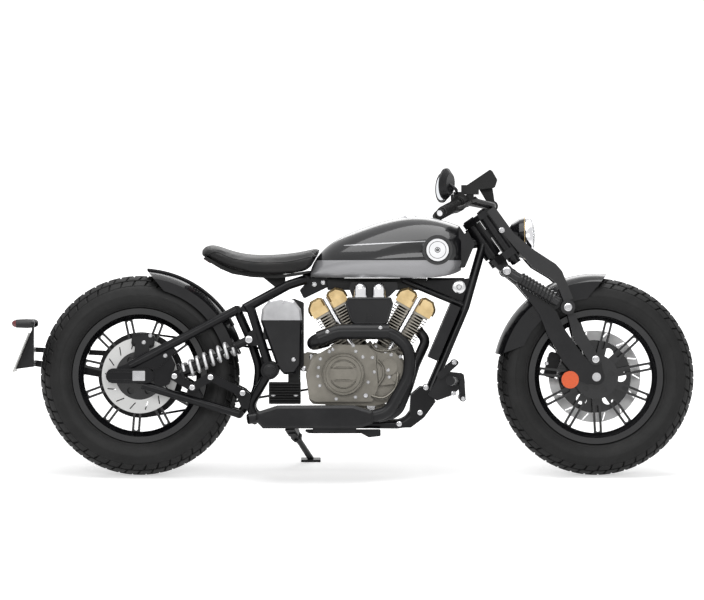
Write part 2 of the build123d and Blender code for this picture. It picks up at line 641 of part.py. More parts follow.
def crankcase():
    """Crankcase and gearbox in one plain casting, with its mounting lugs."""
    outline = [(548, 246), (560, 232), (760, 226), (846, 250), (868, 300), (862, 366), (812, 410),
               (690, 412), (620, 404), (560, 392), (536, 330)]
    body = slab(outline, -CASE_HALF_WIDTH, CASE_HALF_WIDTH, 10)
    for side in (1, -1):
        body += cylinder_place(side) * Pos(0, 0, (CYLINDER_BASE + 40) / 2) * Box(108, 116, CYLINDER_BASE - 40)
    body += slab([(500, 370), (540, 400), (575, 396), (575, 330), (520, 340)], -30, 30, 6)
    body += slab([(596, 232), (800, 232), (790, 196), (610, 196)], -52, 52, 6)
    body += boss(OUTPUT_SHAFT, 12, CASE_HALF_WIDTH - 1, BELT_Y + BELT_WIDTH / 2 + 4)
    return body


def clutch_cover():
    """Right engine cover with its round clutch dome."""
    outline = [(548, 250), (566, 240), (752, 240), (770, 290), (762, 392), (736, 423), (630, 425),
               (584, 398), (556, 376), (540, 330)]
    body = slab(outline, -CASE_HALF_WIDTH, -100, 10)
    body += boss(CLUTCH_CENTRE, CLUTCH_RADIUS, -100, CLUTCH_COVER_Y)
    body -= boss(CLUTCH_CENTRE, CLUTCH_RADIUS - 16, CLUTCH_COVER_Y, CLUTCH_COVER_Y + 4)
    body += boss(CLUTCH_CENTRE, CLUTCH_RADIUS - 22, -110, CLUTCH_COVER_Y - 1)
    for offset in (-26, 16):
        bar = slab([(CLUTCH_CENTRE[0] - 30, CLUTCH_CENTRE[1] + offset),
                    (CLUTCH_CENTRE[0] + 30, CLUTCH_CENTRE[1] + offset),
                    (CLUTCH_CENTRE[0] + 22, CLUTCH_CENTRE[1] + offset + 10),
                    (CLUTCH_CENTRE[0] - 22, CLUTCH_CENTRE[1] + offset + 10)],
                   CLUTCH_COVER_Y - 1, CLUTCH_COVER_Y + 3)
        body -= bar
    return body


def cam_cover():
    """Right front cover over the cam drive."""
    outline = [(774, 292), (846, 300), (858, 352), (826, 398), (768, 396), (766, 360)]
    body = slab(outline, -CASE_HALF_WIDTH, -96, 8)
    body += boss((806, 352), 26, -96, -108) + boss((826, 318), 12, -96, -106)
    return body


def alternator_cover():
    """Left engine cover over the crank end."""
    body = boss((CRANK[0] + 6, CRANK[1] + 8), 78, CASE_HALF_WIDTH, 104)
    body += boss((CRANK[0] + 6, CRANK[1] + 8), 62, 104, 116)
    body -= boss((CRANK[0] + 6, CRANK[1] + 8), 44, 113, 117)
    return body


def pulley_cover():
    """Left cover over the belt's front pulley."""
    front = BELT_Y + BELT_WIDTH / 2 + 5
    body = boss(OUTPUT_SHAFT, FRONT_PULLEY_RADIUS + 14, front, front + 8)
    body += boss(OUTPUT_SHAFT, 22, front + 7, front + 14)
    x, z = OUTPUT_SHAFT
    return body - boss((CRANK[0] + 6, CRANK[1] + 8), 79, 0, 200)


def cylinder(side):
    """Finned barrel."""
    barrel = Pos(0, 0, (CYLINDER_BASE + HEAD_BASE) / 2) * Cylinder(CYLINDER_RADIUS, HEAD_BASE - CYLINDER_BASE)
    count = int((HEAD_BASE - CYLINDER_BASE - 8) // FIN_PITCH)
    fin_plan = RectangleRounded(2 * FIN_HALF_WIDTH, 2 * FIN_HALF_WIDTH, 16)
    for n in range(count):
        level = HEAD_BASE - FIN_THICKNESS - 4 - n * FIN_PITCH
        barrel += Pos(0, 0, level) * extrude(fin_plan, amount=FIN_THICKNESS)
    barrel += Pos(0, 0, HEAD_BASE - 3) * Box(116, 116, 6)
    return cylinder_place(side) * barrel


def cylinder_head(side):
    """Rocker cover: two wide lobes on a common base, parted by the pushrod tube."""
    half, inner, outer = 63.0, 8.0, 69.0
    low, waist, top = HEAD_BASE, HEAD_BASE + 30, HEAD_BASE + HEAD_HEIGHT
    body = Pos(0, 0, low + 11) * Box(2 * half, 2 * half, 22)
    for lobe in (-1, 1):
        profile = [(lobe * inner, low + 12), (lobe * inner, top - 8), (lobe * (inner + 10), top),
                   (lobe * (outer - 22), top), (lobe * (outer - 5), waist + 10), (lobe * outer, waist),
                   (lobe * outer, low + 12)]
        face = Plane.XZ.offset(-52) * make_face(Polyline(*profile, close=True))
        block = extrude(face, amount=108, dir=(0, -1, 0))
        block = chamfer(block.faces().sort_by(Axis.Y)[0].edges(), 7)
        rib = [(lobe * inner, low + 12), (lobe * (inner - 4), low + 12), (lobe * (inner - 4), low + 26),
               (lobe * inner, low + 34)]
        body += block + extrude(Plane.XZ.offset(-40) * make_face(Polyline(*rib, close=True)), amount=92,
                                dir=(0, -1, 0))
    body -= Pos(0, -half, HEAD_BASE + 34) * Box(21, 24, 80)
    return cylinder_place(side) * body


def pushrod_tube(side):
    """Chrome tube up the right of a cylinder, from the case to the rocker cover."""
    top, low = HEAD_BASE + 44, CYLINDER_BASE - 6
    y = -FIN_HALF_WIDTH - 11.0
    tube = Pos(0, y, (top + low) / 2) * Cylinder(8.5, top - low)
    tube += Pos(0, y + 4, HEAD_BASE + 30) * Box(17, 12, 20)
    for n in range(5):
        tube += Pos(0, y, HEAD_BASE - 12 - n * 14) * Cylinder(10.2, 5)
    return cylinder_place(side) * tube


def air_box():
    """Airbox in the vee, its cover on the right."""
    shell = slab([(664, 556), (672, 577), (812, 577), (819, 556), (802, 496), (792, 488), (692, 488),
                  (682, 496)],
                 -76, -128, 6)
    shell = fillet(shell.faces().sort_by(Axis.Y)[0].edges(), 5)
    neck = slab([(704, 470), (796, 470), (802, 590), (700, 590)], -77, 20)
    top = slab([(676, 606), (684, 626), (832, 626), (834, 606), (806, 578), (690, 570)], -72, 60, 5)
    return shell + neck + top


def intake_cap(x):
    """Chrome trumpet cap on the airbox."""
    stem = Pos(x, -104, 577) * Cylinder(21, 26, align=(Align.CENTER, Align.CENTER, Align.MIN))
    dome = Pos(x, -104, 603) * Sphere(21)
    dome -= Pos(x, -104, 583) * Box(50, 50, 40)
    flange = Pos(x, -104, 577) * Cylinder(23, 5, align=(Align.CENTER, Align.CENTER, Align.MIN))
    return stem + dome + flange


# Exhaust
EXHAUST_Y = -152.0
EXHAUST_RADIUS = 20.0
SHIELD_RADIUS = 25.0
REAR_HEADER = [(604, -66, 436), (560, -104, 424), (562, EXHAUST_Y, 436), (640, EXHAUST_Y, 466),
               (812, EXHAUST_Y, 466), (874, EXHAUST_Y, 408), (868, EXHAUST_Y, 322),
               (804, EXHAUST_Y, 208), (744, EXHAUST_Y - 2, 192)]
FRONT_HEADER = [(900, -24, 470), (926, -32, 438), (890, -60, 360), (868, -98, 290), (832, -136, 204),
                (770, -140, 190)]


def rear_header():
    """Header under the vee and down the front of the case, with the shield round its top run."""
    body = pipe(REAR_HEADER, EXHAUST_RADIUS, 90)
    shield = [(577.6, EXHAUST_Y, 442), (640, EXHAUST_Y, 466), (806, EXHAUST_Y, 466)]
    return body + pipe(shield, SHIELD_RADIUS, 90)


def front_header():
    return pipe(FRONT_HEADER, EXHAUST_RADIUS - 4, 90)


def muffler():
    """Faceted box silencer low on the right, with its collector below the engine."""
    outline = [(376, 182), (380, 208), (446, 229), (690, 230), (752, 211), (752, 172), (708, 156), (400, 156)]
    body = slab(outline, -134, -206)
    body = chamfer(body.faces().sort_by(Axis.Y)[0].edges(), 9)
    tip = rod((380, -180, 190), (352, -188, 186), 17) - rod((366, -184, 188), (340, -192, 184), 14)
    return body + tip


def collector():
    outline = [(520, 151), (548, 139), (716, 139), (740, 126), (778, 130), (778, 151)]
    return slab(outline, -134, -62, 4) + slab([(560, 140), (700, 140), (700, 156), (560, 156)], -132, -186)


# Body panels and boxes
def tank_section(x, half, base_half, low, belt, high):
    """One section of the tank: flat bottom, bowed sides and a round top."""
    plane = Plane(origin=(x, 0, 0), x_dir=(0, 1, 0), z_dir=(1, 0, 0))
    bow = (half + base_half) / 2 + 0.14 * (half - base_half) + 3
    edges = [
        Line((-base_half, low), (base_half, low)),
        ThreePointArc((base_half, low), (bow, (low + belt) / 2), (half, belt)),
        ThreePointArc((half, belt), (0, high), (-half, belt)),
        ThreePointArc((-half, belt), (-bow, (low + belt) / 2), (-base_half, low)),
    ]
    return plane * make_face(Curve() + edges)


# columns: x, half width, half width of the base, bottom z, belt z, top z
TANK_SECTIONS = [
    (553, 44, 40, 642, 655, 668),
    (592, 78, 66, 641, 676, 729),
    (680, 118, 96, 640, 694, 785),
    (800, 142, 116, 640, 702, 826),
    (930, 140, 112, 640, 708, 836),
    (1038, 84, 60, 664, 720, 806),
]


def tank():
    """Teardrop tank over the backbone, with its tunnel cut out."""
    body = loft([tank_section(*row) for row in TANK_SECTIONS])
    gap = BACKBONE_RADIUS + TANK_CLEARANCE
    mid = steer(HEAD_TUBE_LENGTH * 0.42)
    tunnel = rod(spot(mid, 0), (480, 0, 634), gap)
    slot = slab([(mid[0], mid[1]), (480, 634), (480, 560), (mid[0], 560)], -gap, gap)
    body -= tunnel + slot
    body -= rod(spot(steer(-60), 0), spot(steer(200), 0), HEAD_TUBE_RADIUS + TANK_CLEARANCE)
    return body - clamp_sweep()


def clamp_sweep():
    """Space that the top clamp needs behind it at full lock."""
    back, over, under = -36, TOP_CLAMP_DROP - TOP_CLAMP_THICKNESS - 80, TOP_CLAMP_DROP + STEER_CLEARANCE
    return slab([steer(over, back), steer(under, back), steer(under, 90), steer(over, 90)], -180, 180)


def tank_gauge(side):
    """Round bezel and domed disc set in the side of the tank."""
    centre = (961, 729)
    ring = boss(centre, 48, side * 124, side * 150)
    disc = boss(centre, 37, side * 149, side * 155)
    return ring, disc


def tank_nose():
    """Collar between the tank and the head tube."""
    outline = [(1030, 672), (1030, 818), (1052, 806), (1082, 748), (1062, 700), (1050, 672)]
    body = slab(outline, -76, 76, 8)
    body -= rod(spot(steer(-60), 0), spot(steer(200), 0), HEAD_TUBE_RADIUS + 0.5)
    return body - clamp_sweep()


# columns: x, half width, bottom z, top z
SEAT_SECTIONS = [
    (199, 54, 714, 728),
    (240, 96, 693, 746),
    (300, 122, 668, 726),
    (380, 124, 650, 713),
    (470, 104, 650, 716),
    (550, 82, 658, 729),
    (594, 74, 660, 738),
]


def seat_section(x, half, low, high):
    plane = Plane(origin=(x, 0, 0), x_dir=(0, 1, 0), z_dir=(1, 0, 0))
    side_z = low + 0.62 * (high - low)
    edges = [
        Line((-0.8 * half, low), (0.8 * half, low)),
        ThreePointArc((0.8 * half, low), (0.95 * half, low + 0.22 * (high - low)), (half, side_z)),
        ThreePointArc((half, side_z), (0, high), (-half, side_z)),
        ThreePointArc((-half, side_z), (-0.95 * half, low + 0.22 * (high - low)), (-0.8 * half, low)),
    ]
    return plane * make_face(Curve() + edges)


def seat_pad():
    """Saddle, its nose sloped along the back of the tank."""
    ahead = slab([(529, 640), (586, 739), (660, 760), (660, 620)], -200, 200)
    return loft([seat_section(*row) for row in SEAT_SECTIONS]) - ahead


def seat_pan():
    """Moulded base under the saddle, with its bracket to the seat rails."""
    outline = [(206, 702), (214, 709), (262, 682), (304, 666), (380, 652), (470, 651), (548, 663), (552, 657),
               (520, 649), (446, 638), (360, 642), (300, 652), (262, 668)]
    body = slab(outline, -74, 74)
    body += slab([(398, 641), (470, 644), (470, 610), (444, 604)], -34, 34)
    return body


def tail_lamp():
    return slab([(206, 700), (213, 709), (232, 698), (228, 686)], -44, 44)


def side_cover(side):
    """Side cover, its silver cap and the belt gap behind the left one."""
    outline = [(392, 500), (396, 540), (420, 568), (460, 577), (500, 566), (522, 538), (526, 500),
               (522, 360), (502, 330), (468, 328), (446, 352)]
    lid = slab(outline, side * 104, side * 140, 10)
    lid = chamfer(lid.faces().sort_by(Axis.Y)[-1 if side > 0 else 0].edges(), 7)
    lid += slab([(400, 440), (400, 540), (424, 562), (496, 560), (516, 536), (516, 440)], side * 78,
                side * 105)
    cut = slab([(300, 503), (600, 503), (600, 700), (300, 700)], side * 60, side * 160)
    return lid - cut, lid & cut


def battery_box():
    return slab([(440, 352), (440, 560), (500, 572), (530, 560), (530, 352)], -CASE_HALF_WIDTH,
                CASE_HALF_WIDTH, 6) - \
        slab([(400, 300), (470, 300), (470, 362), (400, 400)], -100, 100)


def regulator():
    """Finned regulator under the side cover."""
    body = slab([(418, 233), (521, 233), (521, 304), (418, 304)], -96, -112, 3)
    for n in range(8):
        z = 237 + 8.6 * n
        body += slab([(420, z), (519, z), (519, z + 3.2), (420, z + 3.2)], -111, -128)
    body += slab([(480, 290), (520, 290), (520, 372), (480, 372)], -78, -97)
    return body


# columns: along the down tubes from the knee, thickness
RADIATOR = (983.0, 464.0)
RADIATOR_TILT = 23.0
RADIATOR_SIZE = (30.0, 236.0, 188.0)


def radiator():
    """Radiator behind the down tubes, with its side tanks."""
    depth, width, height = RADIATOR_SIZE
    core = Box(depth, width - 60, height - 10)
    for n in range(-7, 8):
        core -= Pos(depth / 2, 0, n * 11) * Box(6, width - 76, 4)
    for side in (1, -1):
        core += Pos(0, side * (width / 2 - 17), 0) * Box(depth + 4, 34, height)
    for side in (1, -1):
        for level, across in ((60.5, 52), (-60.5, 74)):
            core += Pos(depth / 2 + 14, side * across, level) * Box(28, 8, 5)
    return Pos(RADIATOR[0], 0, RADIATOR[1]) * Rot(0, RADIATOR_TILT, 0) * core


# Fork
def fork_clamps():
    """Steering stem, the two clamps it joins and the lug of the lower arms."""
    stem = rod(spot(steer(TOP_CLAMP_DROP - TOP_CLAMP_THICKNESS - 4), 0),
               spot(steer(HEAD_TUBE_LENGTH + 16), 0), STEM_RADIUS)
    top_plane = Plane(origin=spot(steer(TOP_CLAMP_DROP), 0), x_dir=spot(HEAD_FORWARD, 0),
                      z_dir=(-HEAD_AXIS[0], 0, -HEAD_AXIS[1]))
    low_plane = Plane(origin=spot(steer(HEAD_TUBE_LENGTH + CLAMP_GAP), 0), x_dir=spot(HEAD_FORWARD, 0),
                      z_dir=(-HEAD_AXIS[0], 0, -HEAD_AXIS[1]))
    girder_y = LINK_Y + LINK_THICKNESS + SIDE_GAP
    top_outline = [(-24, -20), (-24, 20), (30, FORK_TUBE_Y + 22), (62, girder_y), (92, girder_y),
                   (92, 74), (72, 50), (72, -50), (92, -74), (92, -girder_y), (62, -girder_y),
                    (30, -FORK_TUBE_Y - 22)]
    low_outline = [(-25, -22), (-25, 22), (24, FORK_TUBE_Y + 22), (74, FORK_TUBE_Y + 22),
                   (74, FORK_TUBE_Y - 30),
                   (34, 46), (34, -46), (74, 30 - FORK_TUBE_Y), (74, -FORK_TUBE_Y - 22),
                    (24, -FORK_TUBE_Y - 22)]
    top = extrude(top_plane * make_face(FilletPolyline(*top_outline, radius=8, close=True)),
                  amount=TOP_CLAMP_THICKNESS)
    low = extrude(low_plane * make_face(FilletPolyline(*low_outline, radius=8, close=True)), amount=-26)
    body = stem + top + low
    body += boss(ARM_PIVOT, 17, -ARM_INNER_Y + 0.5, ARM_INNER_Y - 0.5)
    neck = [steer(HEAD_TUBE_LENGTH + 8, -20), steer(HEAD_TUBE_LENGTH + 8, 30),
            (ARM_PIVOT[0] + 14, ARM_PIVOT[1] + 6),
            (ARM_PIVOT[0] - 14, ARM_PIVOT[1] - 6)]
    body += slab(neck, -60, 60)
    body += boss(ARM_PIVOT, 9, -FORK_SHOCK_Y - 16, FORK_SHOCK_Y + 16)
    for side in (1, -1):
        tube_top, tube_foot = steer(-FORK_TUBE_TOP, FORK_OFFSET), steer(FORK_TUBE_LENGTH, FORK_OFFSET)
        body -= rod(spot(tube_top, side * FORK_TUBE_Y), spot(tube_foot, side * FORK_TUBE_Y), FORK_TUBE_RADIUS)
    return body


def fork_tube(side):
    """Fork leg with its cap and lower collar."""
    y = side * FORK_TUBE_Y
    leg = rod(spot(steer(-28, FORK_OFFSET), y), spot(steer(158, FORK_OFFSET), y), FORK_TUBE_RADIUS)
    leg += rod(spot(steer(-34, FORK_OFFSET), y), spot(steer(-26, FORK_OFFSET), y), FORK_TUBE_RADIUS - 5)
    leg += rod(spot(steer(150, FORK_OFFSET), y), spot(steer(172, FORK_OFFSET), y), FORK_TUBE_RADIUS - 4)
    return leg


def fork_arm(side):
    """Curved lower arm from the clamp lug to the front axle."""
    axle = FRONT_AXLE
    outline = [(1168, 668), (1184, 682), (1214, 664), (1262, 616), (1300, 572), (1346, 530), (1368, 480),
               (1417, 408), (1452, 366), (1456, 386), (1472, 394), (1488, 384), (1492, 350),
               (axle[0] + 24, axle[1] + 10), (axle[0] + 8, axle[1] - 22),
               (axle[0] - 30, axle[1] - 24), (1417, 308), (1368, 366), (1318, 452), (1290, 522), (1258, 566),
               (1216, 616), (1178, 646)]
    body = slab(outline, side * ARM_INNER_Y, side * ARM_OUTER_Y, 7)
    body += boss(ARM_PIVOT, 20, side * ARM_INNER_Y, side * ARM_OUTER_Y)
    body += boss(axle, 26, side * ARM_INNER_Y, side * ARM_OUTER_Y)
    body += boss(LINK_FOOT, 16, side * ARM_INNER_Y, side * ARM_OUTER_Y)
    body -= boss(ARM_PIVOT, 9, -300, 300)
    return body - boss(axle, AXLE_RADIUS, -300, 300)


def side_reflector(side):
    """Round reflector on the arm's outer face."""
    return boss(REFLECTOR, REFLECTOR_RADIUS, side * ARM_OUTER_Y, side * (ARM_OUTER_Y + 6))


def front_axle():
    axle = boss(FRONT_AXLE, AXLE_RADIUS, -ARM_OUTER_Y - 8, ARM_OUTER_Y + 8)
    for side in (1, -1):
        axle += boss(FRONT_AXLE, 14, side * ARM_OUTER_Y, side * (ARM_OUTER_Y + 7))
        axle += boss(FRONT_AXLE, 16, side * (FRONT_HUB_HALF + 0.5), side * ARM_INNER_Y)
    return axle


def fork_link(side):
    """Tapered link from the girder's pivot to the foot of the arm."""
    y0, y1 = side * LINK_Y, side * (LINK_Y + LINK_THICKNESS)
    outline = [(GIRDER_PIVOT[0] - 4, GIRDER_PIVOT[1] - 14), (GIRDER_PIVOT[0] + 18, GIRDER_PIVOT[1] - 12),
               (1410, 508), (1466, 410), (LINK_FOOT[0] + 17, LINK_FOOT[1] - 2),
                (LINK_FOOT[0] - 8, LINK_FOOT[1] - 16),
               (1450, 372), (1402, 438)]
    body = slab(outline, y0, y1, 3) + boss(GIRDER_PIVOT, 19, y0, y1) + boss(LINK_FOOT, 19, y0, y1)
    body += boss(LINK_FOOT, 11, side * ARM_OUTER_Y, side * (LINK_Y + LINK_THICKNESS + 5))
    return body - boss(GIRDER_PIVOT, 8, -300, 300)


def girder(side):
    """Outer blade from the top clamp down to its pivot."""
    y0 = LINK_Y + LINK_THICKNESS + SIDE_GAP + 4
    top_a, top_b = steer(-20, 92), steer(-20, 62)
    outline = [top_a, (1206, 784), (1266, 733), (1342, 684), (1362, 661), (1398, 572), (1368, 562),
               (1346, 619), (1326, 637), (1268, 672), (1252, 690), steer(90, 66), steer(20, 64), top_b]
    body = slab(outline, side * y0, side * (y0 + GIRDER_THICKNESS), 4)
    body += boss(GIRDER_PIVOT, 23, side * y0, side * (y0 + GIRDER_THICKNESS + 4))
    body += boss(GIRDER_PIVOT, 8, side * LINK_Y, side * (y0 + GIRDER_THICKNESS + 8))
    foot = slab([steer(-18, 60), steer(-18, 90), steer(2, 90), steer(2, 60)], side * (y0 - 4), side * y0)
    return body + foot


def fork_shock(side):
    """Fork damper between the clamp lug and the girder's pivot, without its gaiter."""
    y = side * FORK_SHOCK_Y
    a, b = Vector(*spot(ARM_PIVOT, y)), Vector(*spot(GIRDER_PIVOT, y))
    axis, length = (b - a).normalized(), (b - a).length
    body = rod(tuple(a + axis * 10), tuple(a + axis * 48), 15)
    body += rod(tuple(a + axis * 48), tuple(b - axis * 46), 12)
    body += rod(tuple(b - axis * 50), tuple(b - axis * 34), 17)
    body += boss(ARM_PIVOT, 17, y - 12 * side, y + 12 * side)
    body -= boss(ARM_PIVOT, 9, -300, 300)
    return body


def fork_gaiter(side):
    """Pleated rubber gaiter over the fork damper."""
    y = side * FORK_SHOCK_Y
    a, b = Vector(*spot(ARM_PIVOT, y)), Vector(*spot(GIRDER_PIVOT, y))
    axis, length = (b - a).normalized(), (b - a).length
    first, last = 48.0, length - 50.0
    pitch = (last - first) / BELLOWS_PLEATS
    points = [(12.2, first)]
    for n in range(BELLOWS_PLEATS):
        points += [(BELLOWS_RADIUS - 4, first + n * pitch), (BELLOWS_RADIUS, first + (n + 0.5) * pitch)]
    points += [(BELLOWS_RADIUS - 4, last), (12.2, last)]
    face = Plane.XZ * make_face(Polyline(*points, close=True))
    shape = revolve(face, axis=Axis.Z)
    return Plane(origin=a, x_dir=(0, 1, 0), z_dir=axis).location * shape


# Controls and lights
def handlebar():
    """One-piece bar with its risers."""
    points = []
    for side in (1, -1):
        half = [(BAR_END[0], side * BAR_HALF_WIDTH, BAR_END[1]), (1052, side * 236, 890),
                (BAR_CENTRE[0], side * 96, BAR_CENTRE[1])]
        points += half if side > 0 else half[::-1]
    bar = pipe(points, BAR_RADIUS, 60)
    for side in (1, -1):
        riser_foot = steer(TOP_CLAMP_DROP - TOP_CLAMP_THICKNESS + 4, 44)
        bar += rod(spot(riser_foot, side * 34), spot(BAR_CENTRE, side * 34), 12)
        bar += boss(BAR_CENTRE, 18, side * 22, side * 46)
    return bar


def bar_direction(side):
    a = Vector(BAR_END[0], side * BAR_HALF_WIDTH, BAR_END[1])
    b = Vector(1052, side * 236, 890)
    return a, (b - a).normalized()


def grip(side):
    end, inward = bar_direction(side)
    body = rod(tuple(end - inward * 4), tuple(end + inward * GRIP_LENGTH), GRIP_RADIUS)
    body += rod(tuple(end - inward * 16), tuple(end - inward * 4), GRIP_RADIUS - 3)
    body += rod(tuple(end + inward * GRIP_LENGTH), tuple(end + inward * (GRIP_LENGTH + 5)), GRIP_RADIUS + 5)
    return body - rod(tuple(end), tuple(end + inward * 170), BAR_RADIUS)


def switchgear(side):
    """Switch housing, lever perch and the lever."""
    end, inward = bar_direction(side)
    start = end + inward * (GRIP_LENGTH + 5.3)
    body = rod(tuple(start), tuple(start + inward * 34), 23)
    body += Pos(*(start + inward * 22 + Vector(-6, 0, 16))) * Box(34, 24, 34)
    perch = start + inward * 44
    body += rod(tuple(start + inward * 34), tuple(start + inward * 54), 17)
    body += rod(tuple(perch), tuple(perch + Vector(40, -side * 8, 4)), 10)
    pivot = perch + Vector(40, -side * 6, 4)
    tip = end + inward * 6 + Vector(46, 0, 10)
    body += rod(tuple(pivot), tuple(between(tuple(pivot), tuple(tip), 0.3)), 7)
    body += pipe([tuple(pivot), tuple(between(tuple(pivot), tuple(tip), 0.4)),
                  tuple(Vector(*between(tuple(pivot), tuple(tip), 0.75)) + Vector(8, 0, 0)),
                   tuple(tip)], 5.5, 60)
    if side < 0:
        body += Pos(*(perch + Vector(20, 4, 35))) * Box(56, 42, 30)
        body += Pos(*(perch + Vector(20, 0, 14))) * Box(24, 20, 38)
    body -= rod(tuple(end), tuple(end + inward * 200), BAR_RADIUS)
    return body - rod(tuple(start + inward * 34), tuple(end + inward * 200), BAR_RADIUS + PERCH_GAP)


def mirror_head(side):
    """Round mirror on its stem."""
    centre = Vector(987, side * 322, 938)
    facing = Vector(-cos(radians(25)), side * sin(radians(25)) * -1, 0.05).normalized()
    shell = Solid.make_cone(MIRROR_RADIUS, MIRROR_RADIUS - 16, 14, Plane(origin=centre, z_dir=facing * -1))
    rim = Solid.make_cylinder(MIRROR_RADIUS, 6, Plane(origin=centre - facing * -6, z_dir=facing * -1))
    stem = pipe([tuple(centre - facing * 10), tuple(centre - facing * 34 + Vector(0, 0, -16)),
                 tuple(Vector(1020, side * 262, 905))], 5, 24)
    return shell + rim + stem


def instrument():
    """Display pod on its bracket over the bar clamp."""
    body = slab([(1056, 926), (1052, 936), (1132, 990), (1140, 984), (1156, 956), (1148, 932),
                 (1110, 926)], -52, 52, 4)
    body += slab([(1096, 930), (1140, 936), (1150, 872), (1130, 872)], -14, 14)
    return body - boss(BAR_CENTRE, BAR_RADIUS, -100, 100)


def headlight():
    """Round headlight shell with its rim and bracket."""
    centre_z = 768.0
    profile = [(0, 1188), (26, 1191), (48, 1204), (62, 1226), (68, 1246), (68, 1262), (60, 1266),
               (60, 1256), (0, 1256)]
    face = make_face(Polyline(*[(x, r) for r, x in profile], close=True))
    shell = Pos(0, 0, centre_z) * revolve(Plane.XZ * face, axis=Axis.X)
    bracket = slab([steer(30, 62), steer(54, 62), (1222, 752), (1222, 784)], -73, -66) + \
        slab([steer(30, 62), steer(54, 62), (1222, 752), (1222, 784)], 66, 73)
    pins = boss((1224, centre_z), 6, -73, 73)
    for side in (1, -1):
        bracket += slab([steer(26, 20), steer(26, 66), steer(58, 66), steer(58, 20)], side * 66, side * 72)
    return shell, bracket + pins - Pos(0, 0, centre_z) * revolve(Plane.XZ * face, axis=Axis.X)


def headlight_lens():
    centre_z = 768.0
    body = Pos(1256, 0, centre_z) * Rot(0, 90, 0) * Cylinder(59.5, 6,
                                                             align=(Align.CENTER, Align.CENTER, Align.MIN))
    return body


def plate_holder():
    """Left-hand arm behind the rear wheel, with the plate bracket, lamps and crossbar."""
    y0, y1 = SWINGARM_Y + AXLE_PLATE_THICKNESS / 2 + 0.2, SWINGARM_Y + AXLE_PLATE_THICKNESS / 2 + 12
    arm = slab([(-60, 326), (-96, 402), (-350, 414), (-350, 398), (-120, 386), (-104, 344), (-350, 372),
                (-350, 352), (-110, 312), (-60, 306)], y0, y1, 3)
    cross = rod((-352, y1, 406), (-352, -30, 406), 8) + rod((-352, y1, 362), (-352, -30, 362), 8)
    back = slab([(-344, 352), (-344, 470), (-351, 470), (-402, 345), (-396, 345)], -26, 26)
    stalk = slab([(-351, 440), (-351, 492), (-344, 492), (-344, 440)], -10, 10)
    bar = rod((-356, -112, 492), (-356, 112, 492), 7)
    return arm + cross + back + stalk + bar


def number_plate():
    """Blank plate on the bracket."""
    a, b = (-351, 470), (-402, 345)
    length = sqrt((a[0] - b[0]) ** 2 + (a[1] - b[1]) ** 2)
    ux, uz = (b[0] - a[0]) / length, (b[1] - a[1]) / length
    outline = [(a[0] + 10 * ux, a[1] + 10 * uz), (b[0] + 10 * ux, b[1] + 10 * uz),
               (b[0] + 10 * ux + 4 * uz, b[1] + 10 * uz - 4 * ux), (a[0] + 10 * ux + 4 * uz,
                                                                    a[1] + 10 * uz - 4 * ux)]
    return slab(outline, -92, 92)


def foot_control(side):
    """Forward peg, its bracket and the pedal."""
    y = side * 112
    bracket = slab([(930, 262), (952, 300), (968, 332), (1006, 334), (1046, 330), (1050, 300),
                    (1010, 262), (960, 244)],
                   side * 112, side * 124, 5)
    bracket += strap((972, 326), (1020, 366), 12, 9, side * 124, side * 132)
    peg = rod((1020, side * 124, 306), (1000, side * 262, 310), 13)
    peg += rod((1003, side * 240, 309), (1000, side * 262, 310), 15)
    pedal = strap((1040, 300), (1044, 250), 9, 8, side * 124, side * 132)
    pad = rod((1044, side * 124, 250), (1040, side * 190, 252), 9)
    return bracket + peg + pedal + pad


def drive_belt():
    """Toothed belt drawn as one closed band round both pulleys."""
    x0, z0, r0 = REAR_AXLE[0], REAR_AXLE[1], REAR_PULLEY_RADIUS + BELT_CLEARANCE
    outer = strap(REAR_AXLE, OUTPUT_SHAFT, r0 + BELT_THICKNESS, FRONT_PULLEY_RADIUS + BELT_THICKNESS,
                  BELT_Y - BELT_WIDTH / 2 + 0.5, BELT_Y + BELT_WIDTH / 2)
    inner = strap(REAR_AXLE, OUTPUT_SHAFT, r0, FRONT_PULLEY_RADIUS, BELT_Y - BELT_WIDTH, BELT_Y + BELT_WIDTH)
    return outer - inner


def front_pulley():
    body = boss(OUTPUT_SHAFT, FRONT_PULLEY_RADIUS - 0.3, BELT_Y - BELT_WIDTH / 2, BELT_Y + BELT_WIDTH / 2)
    return body


def leaned(point):
    """A point of the upright machine, leaned over about the x axis."""
    angle = radians(LEAN)
    x, y, z = point
    return Vector(x, y * cos(angle) + z * sin(angle), z * cos(angle) - y * sin(angle))


def stand_points():
    """Pivot and foot of the side stand, in the upright frame."""
    pivot = leaned(STAND_PIVOT)
    return pivot, Vector(pivot.X + STAND_FOOT_AHEAD, STAND_FOOT_SPREAD, STAND_FOOT_THICKNESS)


def stand_axis():
    """Hinge axis of the stand, leaned: square to the leg when down and when folded back."""
    pivot, foot = stand_points()
    return (foot - pivot).cross(Vector(*STAND_FOLDED)).normalized()


def side_stand():
    """Stand leg and foot, drawn in the leaned frame where they are on the floor."""
    pivot, foot = stand_points()
    axis = stand_axis()
    down = (foot - pivot).normalized()
    leg = rod(tuple(pivot + down * 15), tuple(foot), STAND_LEG_RADIUS)
    leg -= Pos(foot.X, foot.Y, -50) * Box(200, 200, 100)
    pad = Pos(foot.X, foot.Y, STAND_FOOT_THICKNESS / 2) * Box(64, 44, STAND_FOOT_THICKNESS)
    eye = Solid.make_cylinder(18, STAND_EYE, Plane(origin=pivot - axis * (STAND_EYE / 2), z_dir=axis))
    hole = Solid.make_cylinder(STAND_PIN + RUNNING_CLEARANCE, 60, Plane(origin=pivot - axis * 30, z_dir=axis))
    return leg + pad + eye - hole


